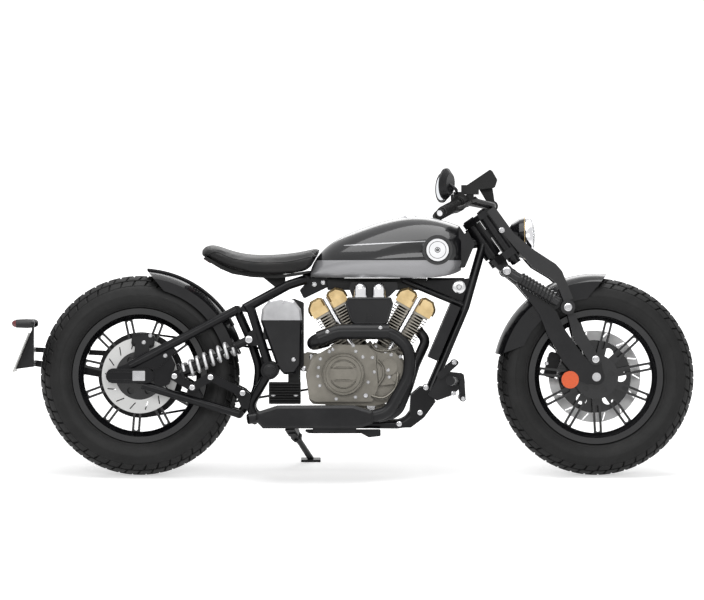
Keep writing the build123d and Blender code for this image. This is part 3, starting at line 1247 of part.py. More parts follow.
def stand_mount():
    """Clevis and pin of the side stand, drawn in the leaned frame."""
    pivot, foot = stand_points()
    axis = stand_axis()
    down = (foot - pivot).normalized()
    place = Plane(origin=pivot, x_dir=down, z_dir=axis).location
    gap = STAND_EYE / 2 + 0.6
    body = None
    for side in (1, -1):
        cheek = Pos(-21, 0, side * (gap + 3)) * Box(42, 24, 6) + Pos(0, 0, side * (gap + 3)) * Cylinder(12, 6)
        body = cheek if body is None else body + cheek
    body += Pos(-42, 0, 0) * Box(40, 34, 2 * gap + 6)
    body += Cylinder(STAND_PIN, 2 * gap + 22)
    arm_end = leaned((STAND_PIVOT[0], FRAME_HALF_WIDTH - 3, CRADLE_Z + 2))
    arm = rod(tuple(pivot - down * 46), tuple(arm_end), STAND_LEG_RADIUS)
    return place * body + arm


def several(*pieces):
    """Separate solids kept under one name."""
    return Compound(children=[solid for piece in pieces for solid in piece.solids()])


def upright_pieces():
    """Every piece by name, in the upright frame."""
    gauge_ring, gauge_disc = tank_gauge(1)
    lid_left, cap_left = side_cover(1)
    lid_right, cap_right = side_cover(-1)
    headlight_shell, headlight_bracket = headlight()
    rear, front = rear_wheel(), front_wheel()
    tree = {
        "frame_spine": frame_spine(),
        "frame_rear": frame_rear(),
        "frame_cradle": frame_cradle(),
        "swingarm": swingarm(),
        "rear_axle": several(rear_axle(), swingarm_pivot_bolt()),
        "rear_shocks": pair(rear_shock(1)),
        "rear_springs": pair(rear_spring(1)),
        "shock_linkages": pair(shock_linkage(1)),
        "crankcase": several(crankcase(), front_pulley()),
        "engine_covers": several(clutch_cover(), cam_cover(), alternator_cover(), pulley_cover()),
        "cylinders": several(cylinder(1), cylinder(-1)),
        "cylinder_heads": several(cylinder_head(1), cylinder_head(-1)),
        "pushrod_tubes": several(pushrod_tube(1), pushrod_tube(-1)),
        "air_box": air_box(),
        "intake_caps": several(intake_cap(713), intake_cap(773)),
        "exhaust_headers": several(rear_header(), front_header() - rear_header()),
        "muffler": several(muffler(), collector()),
        "radiator": radiator(),
        "fuel_tank": tank(),
        "tank_gauges": pair(several(gauge_ring, gauge_disc - gauge_ring)),
        "tank_nose": tank_nose(),
        "seat_pad": seat_pad(),
        "seat_pan": seat_pan(),
        "tail_lamp": tail_lamp(),
        "side_covers": several(lid_left, lid_right),
        "side_cover_caps": several(cap_left, cap_right),
        "battery_box": several(battery_box(), regulator()),
        "rear_fender": rear_fender(),
        "plate_holder": plate_holder(),
        "number_plate": number_plate(),
        "drive_belt": drive_belt(),
        "rear_caliper": rear_caliper(),
        "foot_controls": several(foot_control(1), foot_control(-1)),
        "fork_clamps": several(fork_clamps(), headlight_bracket),
        "fork_tubes": several(fork_tube(1), fork_tube(-1)),
        "fork_arms": several(fork_arm(1), fork_arm(-1)),
        "side_reflectors": pair(side_reflector(-1)),
        "front_axle": front_axle(),
        "girders": several(girder(1), girder(-1), fork_link(1), fork_link(-1)),
        "fork_shocks": several(fork_shock(1), fork_shock(-1)),
        "fork_gaiters": several(fork_gaiter(1), fork_gaiter(-1)),
        "front_fender": front_fender(),
        "front_caliper": front_caliper(),
        "handlebar": handlebar(),
        "grips": several(grip(1), grip(-1)),
        "switchgear": several(switchgear(1), switchgear(-1)),
        "mirrors": several(mirror_head(1), mirror_head(-1)),
        "instrument": instrument(),
        "headlight": headlight_shell,
        "headlight_lens": headlight_lens(),
        "rear_tyre": placed_wheel(rear["rear_tyre"], REAR_AXLE),
        "rear_wheel": placed_wheel(rear["rear_wheel"] + rear["rear_disc_carrier"], REAR_AXLE),
        "rear_brake_disc": placed_wheel(rear["rear_brake_disc"], REAR_AXLE),
        "rear_pulley": placed_wheel(rear["rear_pulley"], REAR_AXLE),
        "front_tyre": placed_wheel(front["front_tyre"], FRONT_AXLE),
        "front_wheel": placed_wheel(
            front["front_wheel"] + front["front_disc_carrier"] + front["front_hub_cover"], FRONT_AXLE),
        "front_brake_disc": placed_wheel(front["front_brake_disc"], FRONT_AXLE),
    }
    return tree


# piece, and what is cut out of it so that they meet face to face
FITTED = [
    ("frame_rear", ["frame_spine", "cylinder_heads", "rear_shocks"]),
    ("frame_cradle", ["frame_rear", "frame_spine", "shock_linkages"]),
    ("battery_box", ["crankcase", "frame_rear"]),
    ("cylinders", ["crankcase"]),
    ("air_box", ["cylinders", "cylinder_heads"]),
    ("exhaust_headers", ["crankcase", "cylinders", "muffler"]),
    ("radiator", ["frame_spine"]),
    ("swingarm", ["shock_linkages", "rear_shocks"]),
    ("handlebar", ["fork_clamps"]),
    ("pushrod_tubes", ["crankcase", "engine_covers"]),
    ("fuel_tank", ["frame_rear", "frame_spine", "tank_gauges"]),
    ("tank_nose", ["frame_spine", "fuel_tank"]),
    ("seat_pan", ["frame_rear", "frame_spine", "tail_lamp"]),
    ("seat_pad", ["tail_lamp", "seat_pan", "frame_spine"]),
    ("side_covers", ["frame_rear", "battery_box"]),
    ("side_cover_caps", ["frame_rear", "battery_box"]),
    ("mirrors", ["switchgear"]),
    ("rear_shocks", ["shock_linkages"]),
    ("rear_fender", ["swingarm"]),
]


def apart(one, other):
    a, b = one.bounding_box(), other.bounding_box()
    return any(low_a > high_b or low_b > high_a for low_a, high_a, low_b, high_b in
               zip(tuple(a.min), tuple(a.max), tuple(b.min), tuple(b.max)))


def fitted(piece, others):
    """A piece with others cut out of it; crumbs are left out."""
    left = []
    for solid in piece.solids():
        near = [tool for other in others for tool in other.solids() if not apart(solid, tool)]
        left += solid.cut(*near).solids() if near else [solid]
    return Compound(children=[solid for solid in left if solid.volume > 60])


def main():
    pieces = upright_pieces()
    for name, others in FITTED:
        pieces[name] = fitted(pieces[name], [pieces[other] for other in others])
    lean = Rot(-LEAN, 0, 0)
    pieces = {name: lean * piece for name, piece in pieces.items()}
    pieces["stand_mount"] = stand_mount()
    pieces["side_stand"] = side_stand()
    pieces["stand_mount"] = several(pieces["stand_mount"] - pieces["frame_cradle"])
    boxes = [piece.bounding_box() for piece in pieces.values()]
    shift_x = -(min(b.min.X for b in boxes) + max(b.max.X for b in boxes)) / 2
    shift_y = -(min(b.min.Y for b in boxes) + max(b.max.Y for b in boxes)) / 2
    print("origin shift", round(shift_x, 4), round(shift_y, 4), "lowest", min(b.min.Z for b in boxes))
    os.makedirs("parts", exist_ok=True)
    for name, piece in pieces.items():
        placed = Pos(shift_x, shift_y, 0) * piece
        export_step(placed, f"parts/{name}.step")


main()
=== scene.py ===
"""Looks of the bobber motorcycle: finishes, tyre treads, saddle, fasteners, lights and camera.

Pieces are drawn in the machine's upright frame, in millimetres: x forward from the rear axle, y to
its left, z up from the ground. UPRIGHT carries them into the leaning machine's place, in metres.
"""
import json
import math

import bmesh
import bpy
from mathutils import Matrix, Vector
from mathutils.bvhtree import BVHTree

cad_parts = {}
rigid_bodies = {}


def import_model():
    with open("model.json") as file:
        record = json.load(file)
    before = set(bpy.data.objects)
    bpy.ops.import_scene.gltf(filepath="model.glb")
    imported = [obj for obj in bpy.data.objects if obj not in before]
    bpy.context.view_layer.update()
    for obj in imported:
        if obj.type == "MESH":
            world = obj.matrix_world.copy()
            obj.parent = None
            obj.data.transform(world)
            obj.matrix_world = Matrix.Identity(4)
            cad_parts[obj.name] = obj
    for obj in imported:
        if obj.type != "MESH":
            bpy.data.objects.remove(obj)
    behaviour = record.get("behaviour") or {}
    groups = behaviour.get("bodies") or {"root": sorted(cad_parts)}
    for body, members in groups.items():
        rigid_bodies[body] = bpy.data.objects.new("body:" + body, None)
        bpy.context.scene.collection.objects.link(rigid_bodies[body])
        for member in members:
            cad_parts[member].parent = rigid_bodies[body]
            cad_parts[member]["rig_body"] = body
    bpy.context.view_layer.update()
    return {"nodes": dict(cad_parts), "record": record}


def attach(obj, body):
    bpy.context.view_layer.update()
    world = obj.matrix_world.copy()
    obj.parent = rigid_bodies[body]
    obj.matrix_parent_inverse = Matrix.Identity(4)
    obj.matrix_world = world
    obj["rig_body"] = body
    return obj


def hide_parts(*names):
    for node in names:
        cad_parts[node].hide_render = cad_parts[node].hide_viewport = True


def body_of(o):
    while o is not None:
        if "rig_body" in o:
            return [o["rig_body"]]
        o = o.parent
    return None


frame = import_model()
NODES = frame["nodes"]
JOINTS = {joint["name"]: joint for joint in frame["record"]["behaviour"]["joints"]}

REAR_AXIS = Vector(JOINTS["rear_wheel_spin"]["axis"])
REAR_AXLE = Vector(JOINTS["rear_wheel_spin"]["pos_m"])
FRONT_AXLE = Vector(JOINTS["front_wheel_spin"]["pos_m"])
LEAN = math.atan2(-REAR_AXIS.z, REAR_AXIS.y)
TILT = Matrix.Rotation(-LEAN, 4, "X")
AXLE_HEIGHT = REAR_AXLE.z / math.cos(LEAN)
FOOT = REAR_AXLE - TILT @ Vector((0, 0, AXLE_HEIGHT))
UPRIGHT = Matrix.Translation(FOOT) @ TILT @ Matrix.Scale(0.001, 4)
LEVEL = UPRIGHT.inverted()
REAR_HUB = (0.0, AXLE_HEIGHT * 1000)
FRONT_HUB = ((FRONT_AXLE.x - REAR_AXLE.x) * 1000, (LEVEL @ FRONT_AXLE).z)

# Photograph's scale and angle
PHOTO_WIDTH, PHOTO_HEIGHT = 704, 600
MM_PER_PIXEL = 3.24
PHOTO_REAR_AXLE_X = 140.3
PHOTO_FLOOR_Y = 475.3
LENS_MM = 300.0
SENSOR_MM = 36.0
CLIP_END = 200


# Material helpers
def new_material(name):
    material = bpy.data.materials.new(name)
    material.use_nodes = True
    tree = material.node_tree
    return material, tree, tree.nodes["Principled BSDF"]


def add_node(tree, kind, **values):
    """Node whose sockets and settings take the values of the same names."""
    node = tree.nodes.new(kind)
    for key, value in values.items():
        if key in node.inputs:
            node.inputs[key].default_value = value
        else:
            setattr(node, key, value)
    return node


def set_inputs(node, **values):
    """Values for a node's sockets; an underscore stands for a space in a socket's name."""
    for key, value in values.items():
        node.inputs[key.replace("_", " ")].default_value = value


def math_node(tree, operation, first, second=None):
    node = add_node(tree, "ShaderNodeMath", operation=operation)
    for socket, value in zip(node.inputs, (first, second)):
        if value is None:
            continue
        if isinstance(value, (int, float)):
            socket.default_value = value
        else:
            tree.links.new(value, socket)
    return node.outputs[0]


def vector_node(tree, operation, vector, value=None):
    node = add_node(tree, "ShaderNodeVectorMath", operation=operation)
    tree.links.new(vector, node.inputs[0])
    if value is not None:
        node.inputs[1].default_value = value
    return node.outputs["Value" if operation == "LENGTH" else 0]


def position(tree):
    """Object coordinates, in metres, the same on every piece."""
    return add_node(tree, "ShaderNodeTexCoord").outputs["Object"]


def upright_position(tree):
    """Coordinates in the machine's upright frame, in metres from the rear axle's foot."""
    turn = add_node(tree, "ShaderNodeVectorRotate", rotation_type="X_AXIS", Angle=LEAN)
    tree.links.new(vector_node(tree, "SUBTRACT", position(tree), FOOT), turn.inputs["Vector"])
    return turn.outputs[0]


def distance_about(tree, centre):
    """Distance, in metres, from a line across the machine through (x, z)."""
    offset = vector_node(tree, "SUBTRACT", upright_position(tree), (centre[0] / 1000, 0, centre[1] / 1000))
    return vector_node(tree, "LENGTH", vector_node(tree, "MULTIPLY", offset, (1, 0, 1)))


def split_xyz(tree, vector):
    split = add_node(tree, "ShaderNodeSeparateXYZ")
    tree.links.new(vector, split.inputs[0])
    return split.outputs


def mixed(tree, factor, first, second):
    """Colour between two, each one a value or another node's colour."""
    mix = add_node(tree, "ShaderNodeMix", data_type="RGBA")
    tree.links.new(factor, mix.inputs[0])
    for socket, colour in ((mix.inputs[6], first), (mix.inputs[7], second)):
        if isinstance(colour, tuple):
            socket.default_value = (*colour, 1)
        else:
            tree.links.new(colour, socket)
    return mix.outputs[2]


def map_range(tree, factor, **values):
    node = add_node(tree, "ShaderNodeMapRange")
    tree.links.new(factor, node.inputs["Value"])
    set_inputs(node, **values)
    return node.outputs["Result"]


def bump(tree, shader, height, distance, strength):
    node = add_node(tree, "ShaderNodeBump", Strength=strength, Distance=distance)
    tree.links.new(height, node.inputs["Height"])
    tree.links.new(node.outputs["Normal"], shader.inputs["Normal"])


def noise(tree, vector, scale, detail=3.0, roughness=0.5):
    node = add_node(tree, "ShaderNodeTexNoise", Scale=scale, Detail=detail, Roughness=roughness)
    tree.links.new(vector, node.inputs["Vector"])
    return node.outputs["Fac"]


def cell_distance(tree, scale, feature="F1"):
    cells = add_node(tree, "ShaderNodeTexVoronoi", feature=feature, Scale=scale)
    tree.links.new(position(tree), cells.inputs["Vector"])
    return cells.outputs["Distance"]


# Materials
def varied(name, dark, light, rough, metallic=0.0, coat=0.0, grain=600.0, grain_depth=0.0002,
           grain_strength=0.3, cloud=9.0, rough_swing=0.08, specular=0.5):
    """Finish with a slow colour drift, a fine grain and a roughness that follows the drift."""
    material, tree, shader = new_material(name)
    where = position(tree)
    drift = noise(tree, where, cloud, 4.0, 0.6)
    colour = mixed(tree, map_range(tree, drift, From_Min=0.35, From_Max=0.65), dark, light)
    tree.links.new(colour, shader.inputs["Base Color"])
    spread = map_range(tree, drift, To_Min=rough - rough_swing, To_Max=rough + rough_swing)
    tree.links.new(spread, shader.inputs["Roughness"])
    set_inputs(shader, Metallic=metallic, Coat_Weight=coat, Coat_Roughness=0.06, Specular_IOR_Level=specular)
    bump(tree, shader, noise(tree, where, grain, 2.0), grain_depth, grain_strength)
    return material


TANK_BAND_TOP = 696.0
TANK_LINE_Z = 744.0
TANK_LINE_SLOPE = 0.05
TANK_LINE_HALF = 1.6
TANK_LINE_START = 660.0
TANK_LINE_END = 925.0
TANK_SILVER = ((0.22, 0.22, 0.23), (0.40, 0.40, 0.41))
TANK_BLACK = ((0.004, 0.004, 0.005), (0.009, 0.009, 0.010))


def tank_finish():
    """Gloss black over a silver lower band, with a thin pale coach line above it."""
    material, tree, shader = new_material("tank_finish")
    place = split_xyz(tree, upright_position(tree))
    along = math_node(tree, "SUBTRACT", place["X"], TANK_LINE_START / 1000)
    rise = math_node(tree, "ADD", math_node(tree, "MULTIPLY", along, TANK_LINE_SLOPE), TANK_LINE_Z / 1000)
    off_line = math_node(tree, "ABSOLUTE", math_node(tree, "SUBTRACT", place["Z"], rise))
    behind = math_node(tree, "LESS_THAN", place["X"], TANK_LINE_END / 1000)
    ahead = math_node(tree, "GREATER_THAN", place["X"], TANK_LINE_START / 1000)
    line = math_node(tree, "MULTIPLY", math_node(tree, "LESS_THAN", off_line, TANK_LINE_HALF / 1000),
                     math_node(tree, "MULTIPLY", behind, ahead))
    band = math_node(tree, "LESS_THAN", place["Z"], TANK_BAND_TOP / 1000)
    pale = math_node(tree, "MAXIMUM", band, line)
    silver = mixed(tree, noise(tree, position(tree), 2600.0, 1.0), *TANK_SILVER)
    black = mixed(tree, noise(tree, position(tree), 7.0), *TANK_BLACK)
    tree.links.new(mixed(tree, pale, black, silver), shader.inputs["Base Color"])
    tree.links.new(math_node(tree, "MULTIPLY", pale, 0.45), shader.inputs["Metallic"])
    set_inputs(shader, Roughness=0.30, Specular_IOR_Level=0.15, Coat_Weight=0.7, Coat_Roughness=0.05)
    bump(tree, shader, noise(tree, position(tree), 90.0, 1.0), 0.0002, 0.05)
    return material


GAUGE_CENTRE = (961, 729)
GAUGE_FACE_RADIUS = 38.0
GAUGE_BLACK = (0.008, 0.008, 0.009)
GAUGE_CHROME = (0.56, 0.56, 0.57)


def rounds_finish():
    """Chrome inside the gauges' rim and black outside it."""
    material, tree, shader = new_material("gauge_rounds")
    inside = math_node(tree, "LESS_THAN", distance_about(tree, GAUGE_CENTRE), GAUGE_FACE_RADIUS / 1000)
    tree.links.new(mixed(tree, inside, GAUGE_BLACK, GAUGE_CHROME), shader.inputs["Base Color"])
    tree.links.new(inside, shader.inputs["Metallic"])
    wear = map_range(tree, noise(tree, position(tree), 40.0), From_Min=-1.2, From_Max=4.0)
    tree.links.new(wear, shader.inputs["Roughness"])
    bump(tree, shader, noise(tree, position(tree), 60.0), 0.0001, 0.05)
    return material


def finned(name, dark, light):
    """Cast fins with machined edges and painted shade: faces turned sideways are light, and the fins' flats
    are dark as painted shade for the gaps between the fins.
    """
    material, tree, shader = new_material(name)
    normal = split_xyz(tree, add_node(tree, "ShaderNodeNewGeometry").outputs["Normal"])
    sideways = map_range(tree, math_node(tree, "ABSOLUTE", normal["Y"]), From_Min=0.35, From_Max=0.95)
    drift = math_node(tree, "MULTIPLY", noise(tree, position(tree), 30.0, 4.0), 0.5)
    # painted shade: as a face turns away from the side its colour goes dark, standing in for the shade in the
    # gaps between the fins; the sideways faces keep the machined edges' light colour
    edge = math_node(tree, "MULTIPLY", sideways, math_node(tree, "ADD", drift, 0.6))
    tree.links.new(mixed(tree, edge, dark, light), shader.inputs["Base Color"])
    set_inputs(shader, Metallic=0.7, Roughness=0.38)
    bump(tree, shader, noise(tree, position(tree), 900.0, 2.0), 0.0002, 0.4)
    return material


def turned_metal(name, dark, light, rough, hub, metallic=0.7):
    """Machined face with fine rings about a wheel's hub."""
    material, tree, shader = new_material(name)
    ring = add_node(tree, "ShaderNodeTexNoise", noise_dimensions="1D", Scale=1400.0)
    tree.links.new(distance_about(tree, hub), ring.inputs["W"])
    tree.links.new(mixed(tree, ring.outputs["Fac"], dark, light), shader.inputs["Base Color"])
    set_inputs(shader, Metallic=metallic, Roughness=rough)
    bump(tree, shader, ring.outputs["Fac"], 0.0001, 0.4)
    return material


def leather(name, dark, light):
    material, tree, shader = new_material(name)
    folds = math_node(tree, "MULTIPLY", noise(tree, position(tree), 60.0, 4.0, 0.6), 0.8)
    height = math_node(tree, "ADD", cell_distance(tree, 520.0, "SMOOTH_F1"), folds)
    cloud = map_range(tree, noise(tree, position(tree), 14.0), From_Min=0.3, From_Max=0.7)
    tree.links.new(mixed(tree, cloud, dark, light), shader.inputs["Base Color"])
    set_inputs(shader, Roughness=0.46, Specular_IOR_Level=0.25)
    bump(tree, shader, height, 0.0006, 0.35)
    return material


def tyre_rubber(name, dark, light):
    material, tree, shader = new_material(name)
    dust = map_range(tree, noise(tree, position(tree), 18.0, 5.0, 0.65), From_Min=0.3, From_Max=0.75)
    tree.links.new(mixed(tree, dust, dark, light), shader.inputs["Base Color"])
    set_inputs(shader, Roughness=0.5, Specular_IOR_Level=0.22)
    bump(tree, shader, noise(tree, position(tree), 420.0, 3.0), 0.0004, 0.35)
    return material


def clear_lens(name):
    material, tree, shader = new_material(name)
    ribs = add_node(tree, "ShaderNodeTexWave", wave_type="BANDS", bands_direction="Y", Scale=45.0)
    tree.links.new(position(tree), ribs.inputs["Vector"])
    set_inputs(shader, Base_Color=(0.85, 0.87, 0.9, 1), Roughness=0.05, Transmission_Weight=0.75, IOR=1.45)
    bump(tree, shader, ribs.outputs["Fac"], 0.0008, 0.35)
    return material


def signal_lens(name, colour):
    material, tree, shader = new_material(name)
    cells = cell_distance(tree, 330.0)
    tree.links.new(mixed(tree, cells, colour, tuple(c * 0.7 for c in colour)), shader.inputs["Base Color"])
    set_inputs(shader, Roughness=0.16, Coat_Weight=0.6)
    bump(tree, shader, cells, 0.0004, 0.25)
    return material


FINISH = {
    "gloss_black": varied("gloss_black", (0.004, 0.004, 0.005), (0.009, 0.009, 0.010), 0.30, coat=0.5,
                          grain=120.0, grain_strength=0.04, specular=0.1),
    "satin_black": varied("satin_black", (0.006, 0.006, 0.007), (0.013, 0.013, 0.014), 0.36, coat=0.06,
                          grain=1400.0, grain_strength=0.12, specular=0.2),
    "wheel_black": varied("wheel_black", (0.004, 0.004, 0.005), (0.008, 0.008, 0.009), 0.26, coat=0.8,
                          grain=300.0, grain_strength=0.05, specular=0.2),
    "frame_black": varied("frame_black", (0.003, 0.003, 0.004), (0.007, 0.007, 0.008), 0.32, coat=0.10,
                          grain=1400.0, grain_strength=0.08, specular=0.15),
    "girder_grey": varied("girder_grey", (0.009, 0.009, 0.010), (0.017, 0.017, 0.018), 0.34, coat=0.15,
                          grain=1400.0, grain_strength=0.12, specular=0.3),
    "silver": varied("silver", (0.36, 0.36, 0.37), (0.50, 0.50, 0.51), 0.30, metallic=0.55, coat=0.6,
                     grain=2600.0, grain_depth=0.00005, grain_strength=0.1),
    "chrome": varied("chrome", (0.72, 0.72, 0.74), (0.82, 0.82, 0.83), 0.12, metallic=1.0, grain=60.0,
                     grain_strength=0.03, rough_swing=0.04),
    "spring_white": varied("spring_white", (0.60, 0.60, 0.61), (0.74, 0.74, 0.75), 0.30, metallic=0.35,
                           coat=0.5, grain=900.0, grain_strength=0.15),
    "bronze": varied("bronze", (0.150, 0.140, 0.118), (0.235, 0.220, 0.190), 0.36, metallic=0.6,
                     grain=900.0, grain_strength=0.3),
    # the darker colour here is painted shade for the gaps between the fins, the lighter one the machined
    # edges
    "fin_bronze": finned("fin_bronze", (0.055, 0.050, 0.042), (0.34, 0.315, 0.27)),
    "gold": varied("gold", (0.42, 0.30, 0.14), (0.62, 0.47, 0.25), 0.36, metallic=0.75, grain=700.0,
                   cloud=14.0),
    "plastic": varied("plastic", (0.008, 0.008, 0.008), (0.014, 0.014, 0.014), 0.5, grain=800.0,
                      specular=0.2),
    "rubber": varied("rubber", (0.008, 0.008, 0.008), (0.014, 0.014, 0.014), 0.55, grain=500.0,
                     grain_strength=0.4, specular=0.2),
    "tyre": tyre_rubber("tyre_rubber", (0.008, 0.008, 0.008), (0.017, 0.017, 0.017)),
    "leather": leather("saddle_leather", (0.007, 0.007, 0.007), (0.014, 0.013, 0.013)),
    "tank": tank_finish(),
    "rear_disc": turned_metal("rear_disc_face", (0.42, 0.42, 0.42), (0.62, 0.62, 0.61), 0.34, REAR_HUB),
    # painted reflection: the front disc's near-white, almost non-metallic colour stands in for the white
    # surroundings that its steel face reflects
    "front_disc": turned_metal("front_disc_painted_reflection", (0.86, 0.86, 0.86), (0.94, 0.94, 0.94), 0.45, FRONT_HUB,
                               metallic=0.1),
    "lens": clear_lens("clear_lens"),
    "red": signal_lens("red_lens", (0.20, 0.006, 0.008)),
    "orange": signal_lens("orange_reflector", (1.0, 0.13, 0.015)),
    "bright": varied("bright", (0.46, 0.46, 0.47), (0.60, 0.60, 0.61), 0.20, metallic=1.0, grain=300.0,
                     grain_strength=0.1, rough_swing=0.05),
    "plate": varied("plate", (0.62, 0.62, 0.60), (0.70, 0.70, 0.68), 0.4, grain=500.0, grain_strength=0.1),
    "rounds": rounds_finish(),
    "mirror": varied("mirror", (0.7, 0.72, 0.75), (0.76, 0.78, 0.8), 0.04, metallic=1.0, grain=20.0,
                     grain_strength=0.0, rough_swing=0.01),
}

# finish, and the nodes that take it
NODE_FINISH = {
    "frame_black": ["frame_spine", "frame_rear", "frame_cradle", "swingarm", "rear_shocks", "shock_linkages"],
    "satin_black": ["exhaust_headers", "muffler", "radiator", "plate_holder", "foot_controls", "stand_mount",
                    "side_stand", "fork_clamps", "handlebar", "mirrors", "rear_pulley", "fork_tubes",
                    "rear_caliper", "front_caliper"],
    "gloss_black": ["tank_nose", "side_covers", "rear_fender", "front_fender", "air_box", "headlight",
                    "fork_arms"],
    "wheel_black": ["rear_wheel", "front_wheel"],
    "girder_grey": ["girders", "fork_gaiters", "fork_shocks"],
    "silver": ["side_cover_caps"],
    "chrome": ["pushrod_tubes", "intake_caps"],
    "rounds": ["tank_gauges"],
    "bright": ["rear_axle", "front_axle"],
    "spring_white": ["rear_springs"],
    "bronze": ["crankcase", "engine_covers"],
    "fin_bronze": ["cylinders"],
    "gold": ["cylinder_heads"],
    "plastic": ["seat_pan", "battery_box", "switchgear", "instrument"],
    "plate": ["number_plate"],
    "rubber": ["drive_belt", "grips"],
    "tyre": ["rear_tyre", "front_tyre"],
    "leather": ["seat_pad"],
    "tank": ["fuel_tank"],
    "rear_disc": ["rear_brake_disc"],
    "front_disc": ["front_brake_disc"],
    "lens": ["headlight_lens"],
    "red": ["tail_lamp"],
    "orange": ["side_reflectors"],
}


def dress_nodes():
    for finish, names in NODE_FINISH.items():
        for name in names:
            target = NODES[name]
            if not target.material_slots:
                target.data.materials.append(FINISH[finish])
            for slot in target.material_slots:
                slot.material = FINISH[finish]


# Mesh helpers
SHARP_ANGLE = math.radians(35)
OUTSIDE_Y = 600


def add_object(name, data):
    item = bpy.data.objects.new(name, data)
    bpy.context.scene.collection.objects.link(item)
    return item


def piece(name, bm, body, finish):
    """Object from a mesh drawn in the upright frame, riding on a body."""
    bm.transform(UPRIGHT)
    bmesh.ops.recalc_face_normals(bm, faces=bm.faces)
    mesh = bpy.data.meshes.new(name)
    bm.to_mesh(mesh)
    bm.free()
    item = add_object(name, mesh)
    item.data.materials.append(FINISH[finish])
    for polygon in mesh.polygons:
        polygon.use_smooth = True
    mesh.set_sharp_from_angle(angle=SHARP_ANGLE)
    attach(item, body)
    return item


def tree_of(*names):
    """Search tree over some nodes' surfaces, in the row's frame."""
    points, faces = [], []
    for name in names:
        mesh = NODES[name].data
        start = len(points)
        points += [vertex.co.copy() for vertex in mesh.vertices]
        faces += [tuple(start + index for index in polygon.vertices) for polygon in mesh.polygons]
    return BVHTree.FromPolygons(points, faces)


def surface_y(tree, x, z, side):
    """Where a line across the machine first meets a surface, from one side."""
    start = UPRIGHT @ Vector((x, side * OUTSIDE_Y, z))
    heading = (UPRIGHT @ Vector((x, 0, z)) - start).normalized()
    hit = tree.ray_cast(start, heading)[0]
    return None if hit is None else (LEVEL @ hit).y


def circle(centre, across, other, radius, steps):
    """Points of a circle in the plane of two unit vectors."""
    turns = [math.tau * n / steps for n in range(steps)]
    return [centre + (across * math.cos(turn) + other * math.sin(turn)) * radius for turn in turns]


def ring_points(origin, axis, along, radius, steps):
    """Points of a circle about an axis, at a distance along it."""
    axis = Vector(axis).normalized()
    across = axis.orthogonal().normalized()
    return circle(Vector(origin) + axis * along, across, axis.cross(across), radius, steps)


def skin(bm, loops, closed=False):
    """Quads between loops of points; the loops join up where closed, or else the ends are capped."""
    rows = [[bm.verts.new(point) for point in loop] for loop in loops]
    pairs = list(zip(rows, rows[1:])) + ([(rows[-1], rows[0])] if closed else [])
    for low, high in pairs:
        for n in range(len(low)):
            follow = (n + 1) % len(low)
            bm.faces.new((low[n], low[follow], high[follow], high[n]))
    if not closed:
        bm.faces.new(rows[0][::-1])
        bm.faces.new(rows[-1])


def turned(bm, origin, axis, profile, steps=32):
    """Turned part: profile rows are (distance along the axis, radius)."""
    skin(bm, [ring_points(origin, axis, along, radius, steps) for along, radius in profile])


def band(bm, origin, axis, section, steps):
    """Ring of any section: rows of (distance along the axis, radius)."""
    skin(bm, [ring_points(origin, axis, along, radius, steps) for along, radius in section], closed=True)


def hoop(bm, origin, axis, radius, thickness, steps=64, sides=10):
    """Round ring about an axis."""
    angles = [math.tau * n / sides for n in range(sides)]
    band(bm, origin, axis, [(thickness * math.sin(angle), radius + thickness * math.cos(angle))
                            for angle in angles], steps)


def tube(bm, points, radius, sides=10):
    """Round tube through points."""
    points = [Vector(point) for point in points]
    side = None
    loops = []
    for n, point in enumerate(points):
        ahead = (points[min(n + 1, len(points) - 1)] - points[max(n - 1, 0)]).normalized()
        side = ahead.orthogonal() if side is None else side - ahead * side.dot(ahead)
        side = side.normalized()
        loops.append(circle(point, side, ahead.cross(side), radius, sides))
    skin(bm, loops)


def block(bm, low, high, chamfer):
    """Box with its edges broken."""
    corners = bmesh.ops.create_cube(bm, size=1.0)["verts"]
    middle = (Vector(low) + Vector(high)) / 2
    size = Vector(high) - Vector(low)
    for vertex in corners:
        vertex.co = Vector(vertex.co[k] * size[k] + middle[k] for k in range(3))
    edges = list({edge for vertex in corners for edge in vertex.link_edges})
    bmesh.ops.bevel(bm, geom=edges, offset=chamfer, segments=2, affect="EDGES", profile=0.5)


def smooth_line(points, steps):
    """Catmull-Rom line through points of a plane."""
    rows = [points[0]] + list(points) + [points[-1]]
    line = []
    for a, b, c, d in zip(rows, rows[1:], rows[2:], rows[3:]):
        for n in range(steps):
            t = n / steps
            line.append(tuple(0.5 * (2 * q + (r - p) * t + (2 * p - 5 * q + 4 * r - s) * t ** 2 +
                                     (3 * q - p - 3 * r + s) * t ** 3) for p, q, r, s in zip(a, b, c, d)))
    return line + [points[-1]]


# Screws: x, z and head radius, placed on the first surface that a line across the machine meets
GUSSET_SCREWS = [(564, 619, 6), (593, 625, 6), (511, 589, 6)]
SHOCK_SCREWS = [(354, 441, 9), (85, 389, 5)]
COVER_SCREWS = [(464, 562, 5), (498, 376, 5)]
REGULATOR_SCREWS = [(432, 261, 5.5), (505, 261, 5.5)]
ROCKER_SCREWS = [(115, 323, 7), (172, 287, 7), (231, 320, 7), (334, 269, 7)]
CLUTCH_SCREWS = [(624, 408, 4.5), (613, 401, 4.5), (584, 378, 4.5), (578, 350, 4.5), (576, 322, 4.5),
                 (582, 292, 4.5), (635, 249, 4.5), (697, 255, 4.5), (721, 384, 4.5), (698, 402, 4.5),
                 (690, 421, 4.5)]
CAM_SCREWS = [(762, 417, 4.5), (747, 424, 4.5), (794, 397, 4.5), (812, 391, 4.5), (841, 384, 4.5),
              (752, 382, 4.5), (802, 342, 4.5), (806, 320, 4.5), (758, 336, 4.5), (738, 303, 4.5)]
MOUNT_SCREWS = [(556, 384, 7), (529, 345, 7), (548, 461, 7), (570, 501, 7), (926, 501, 7)]
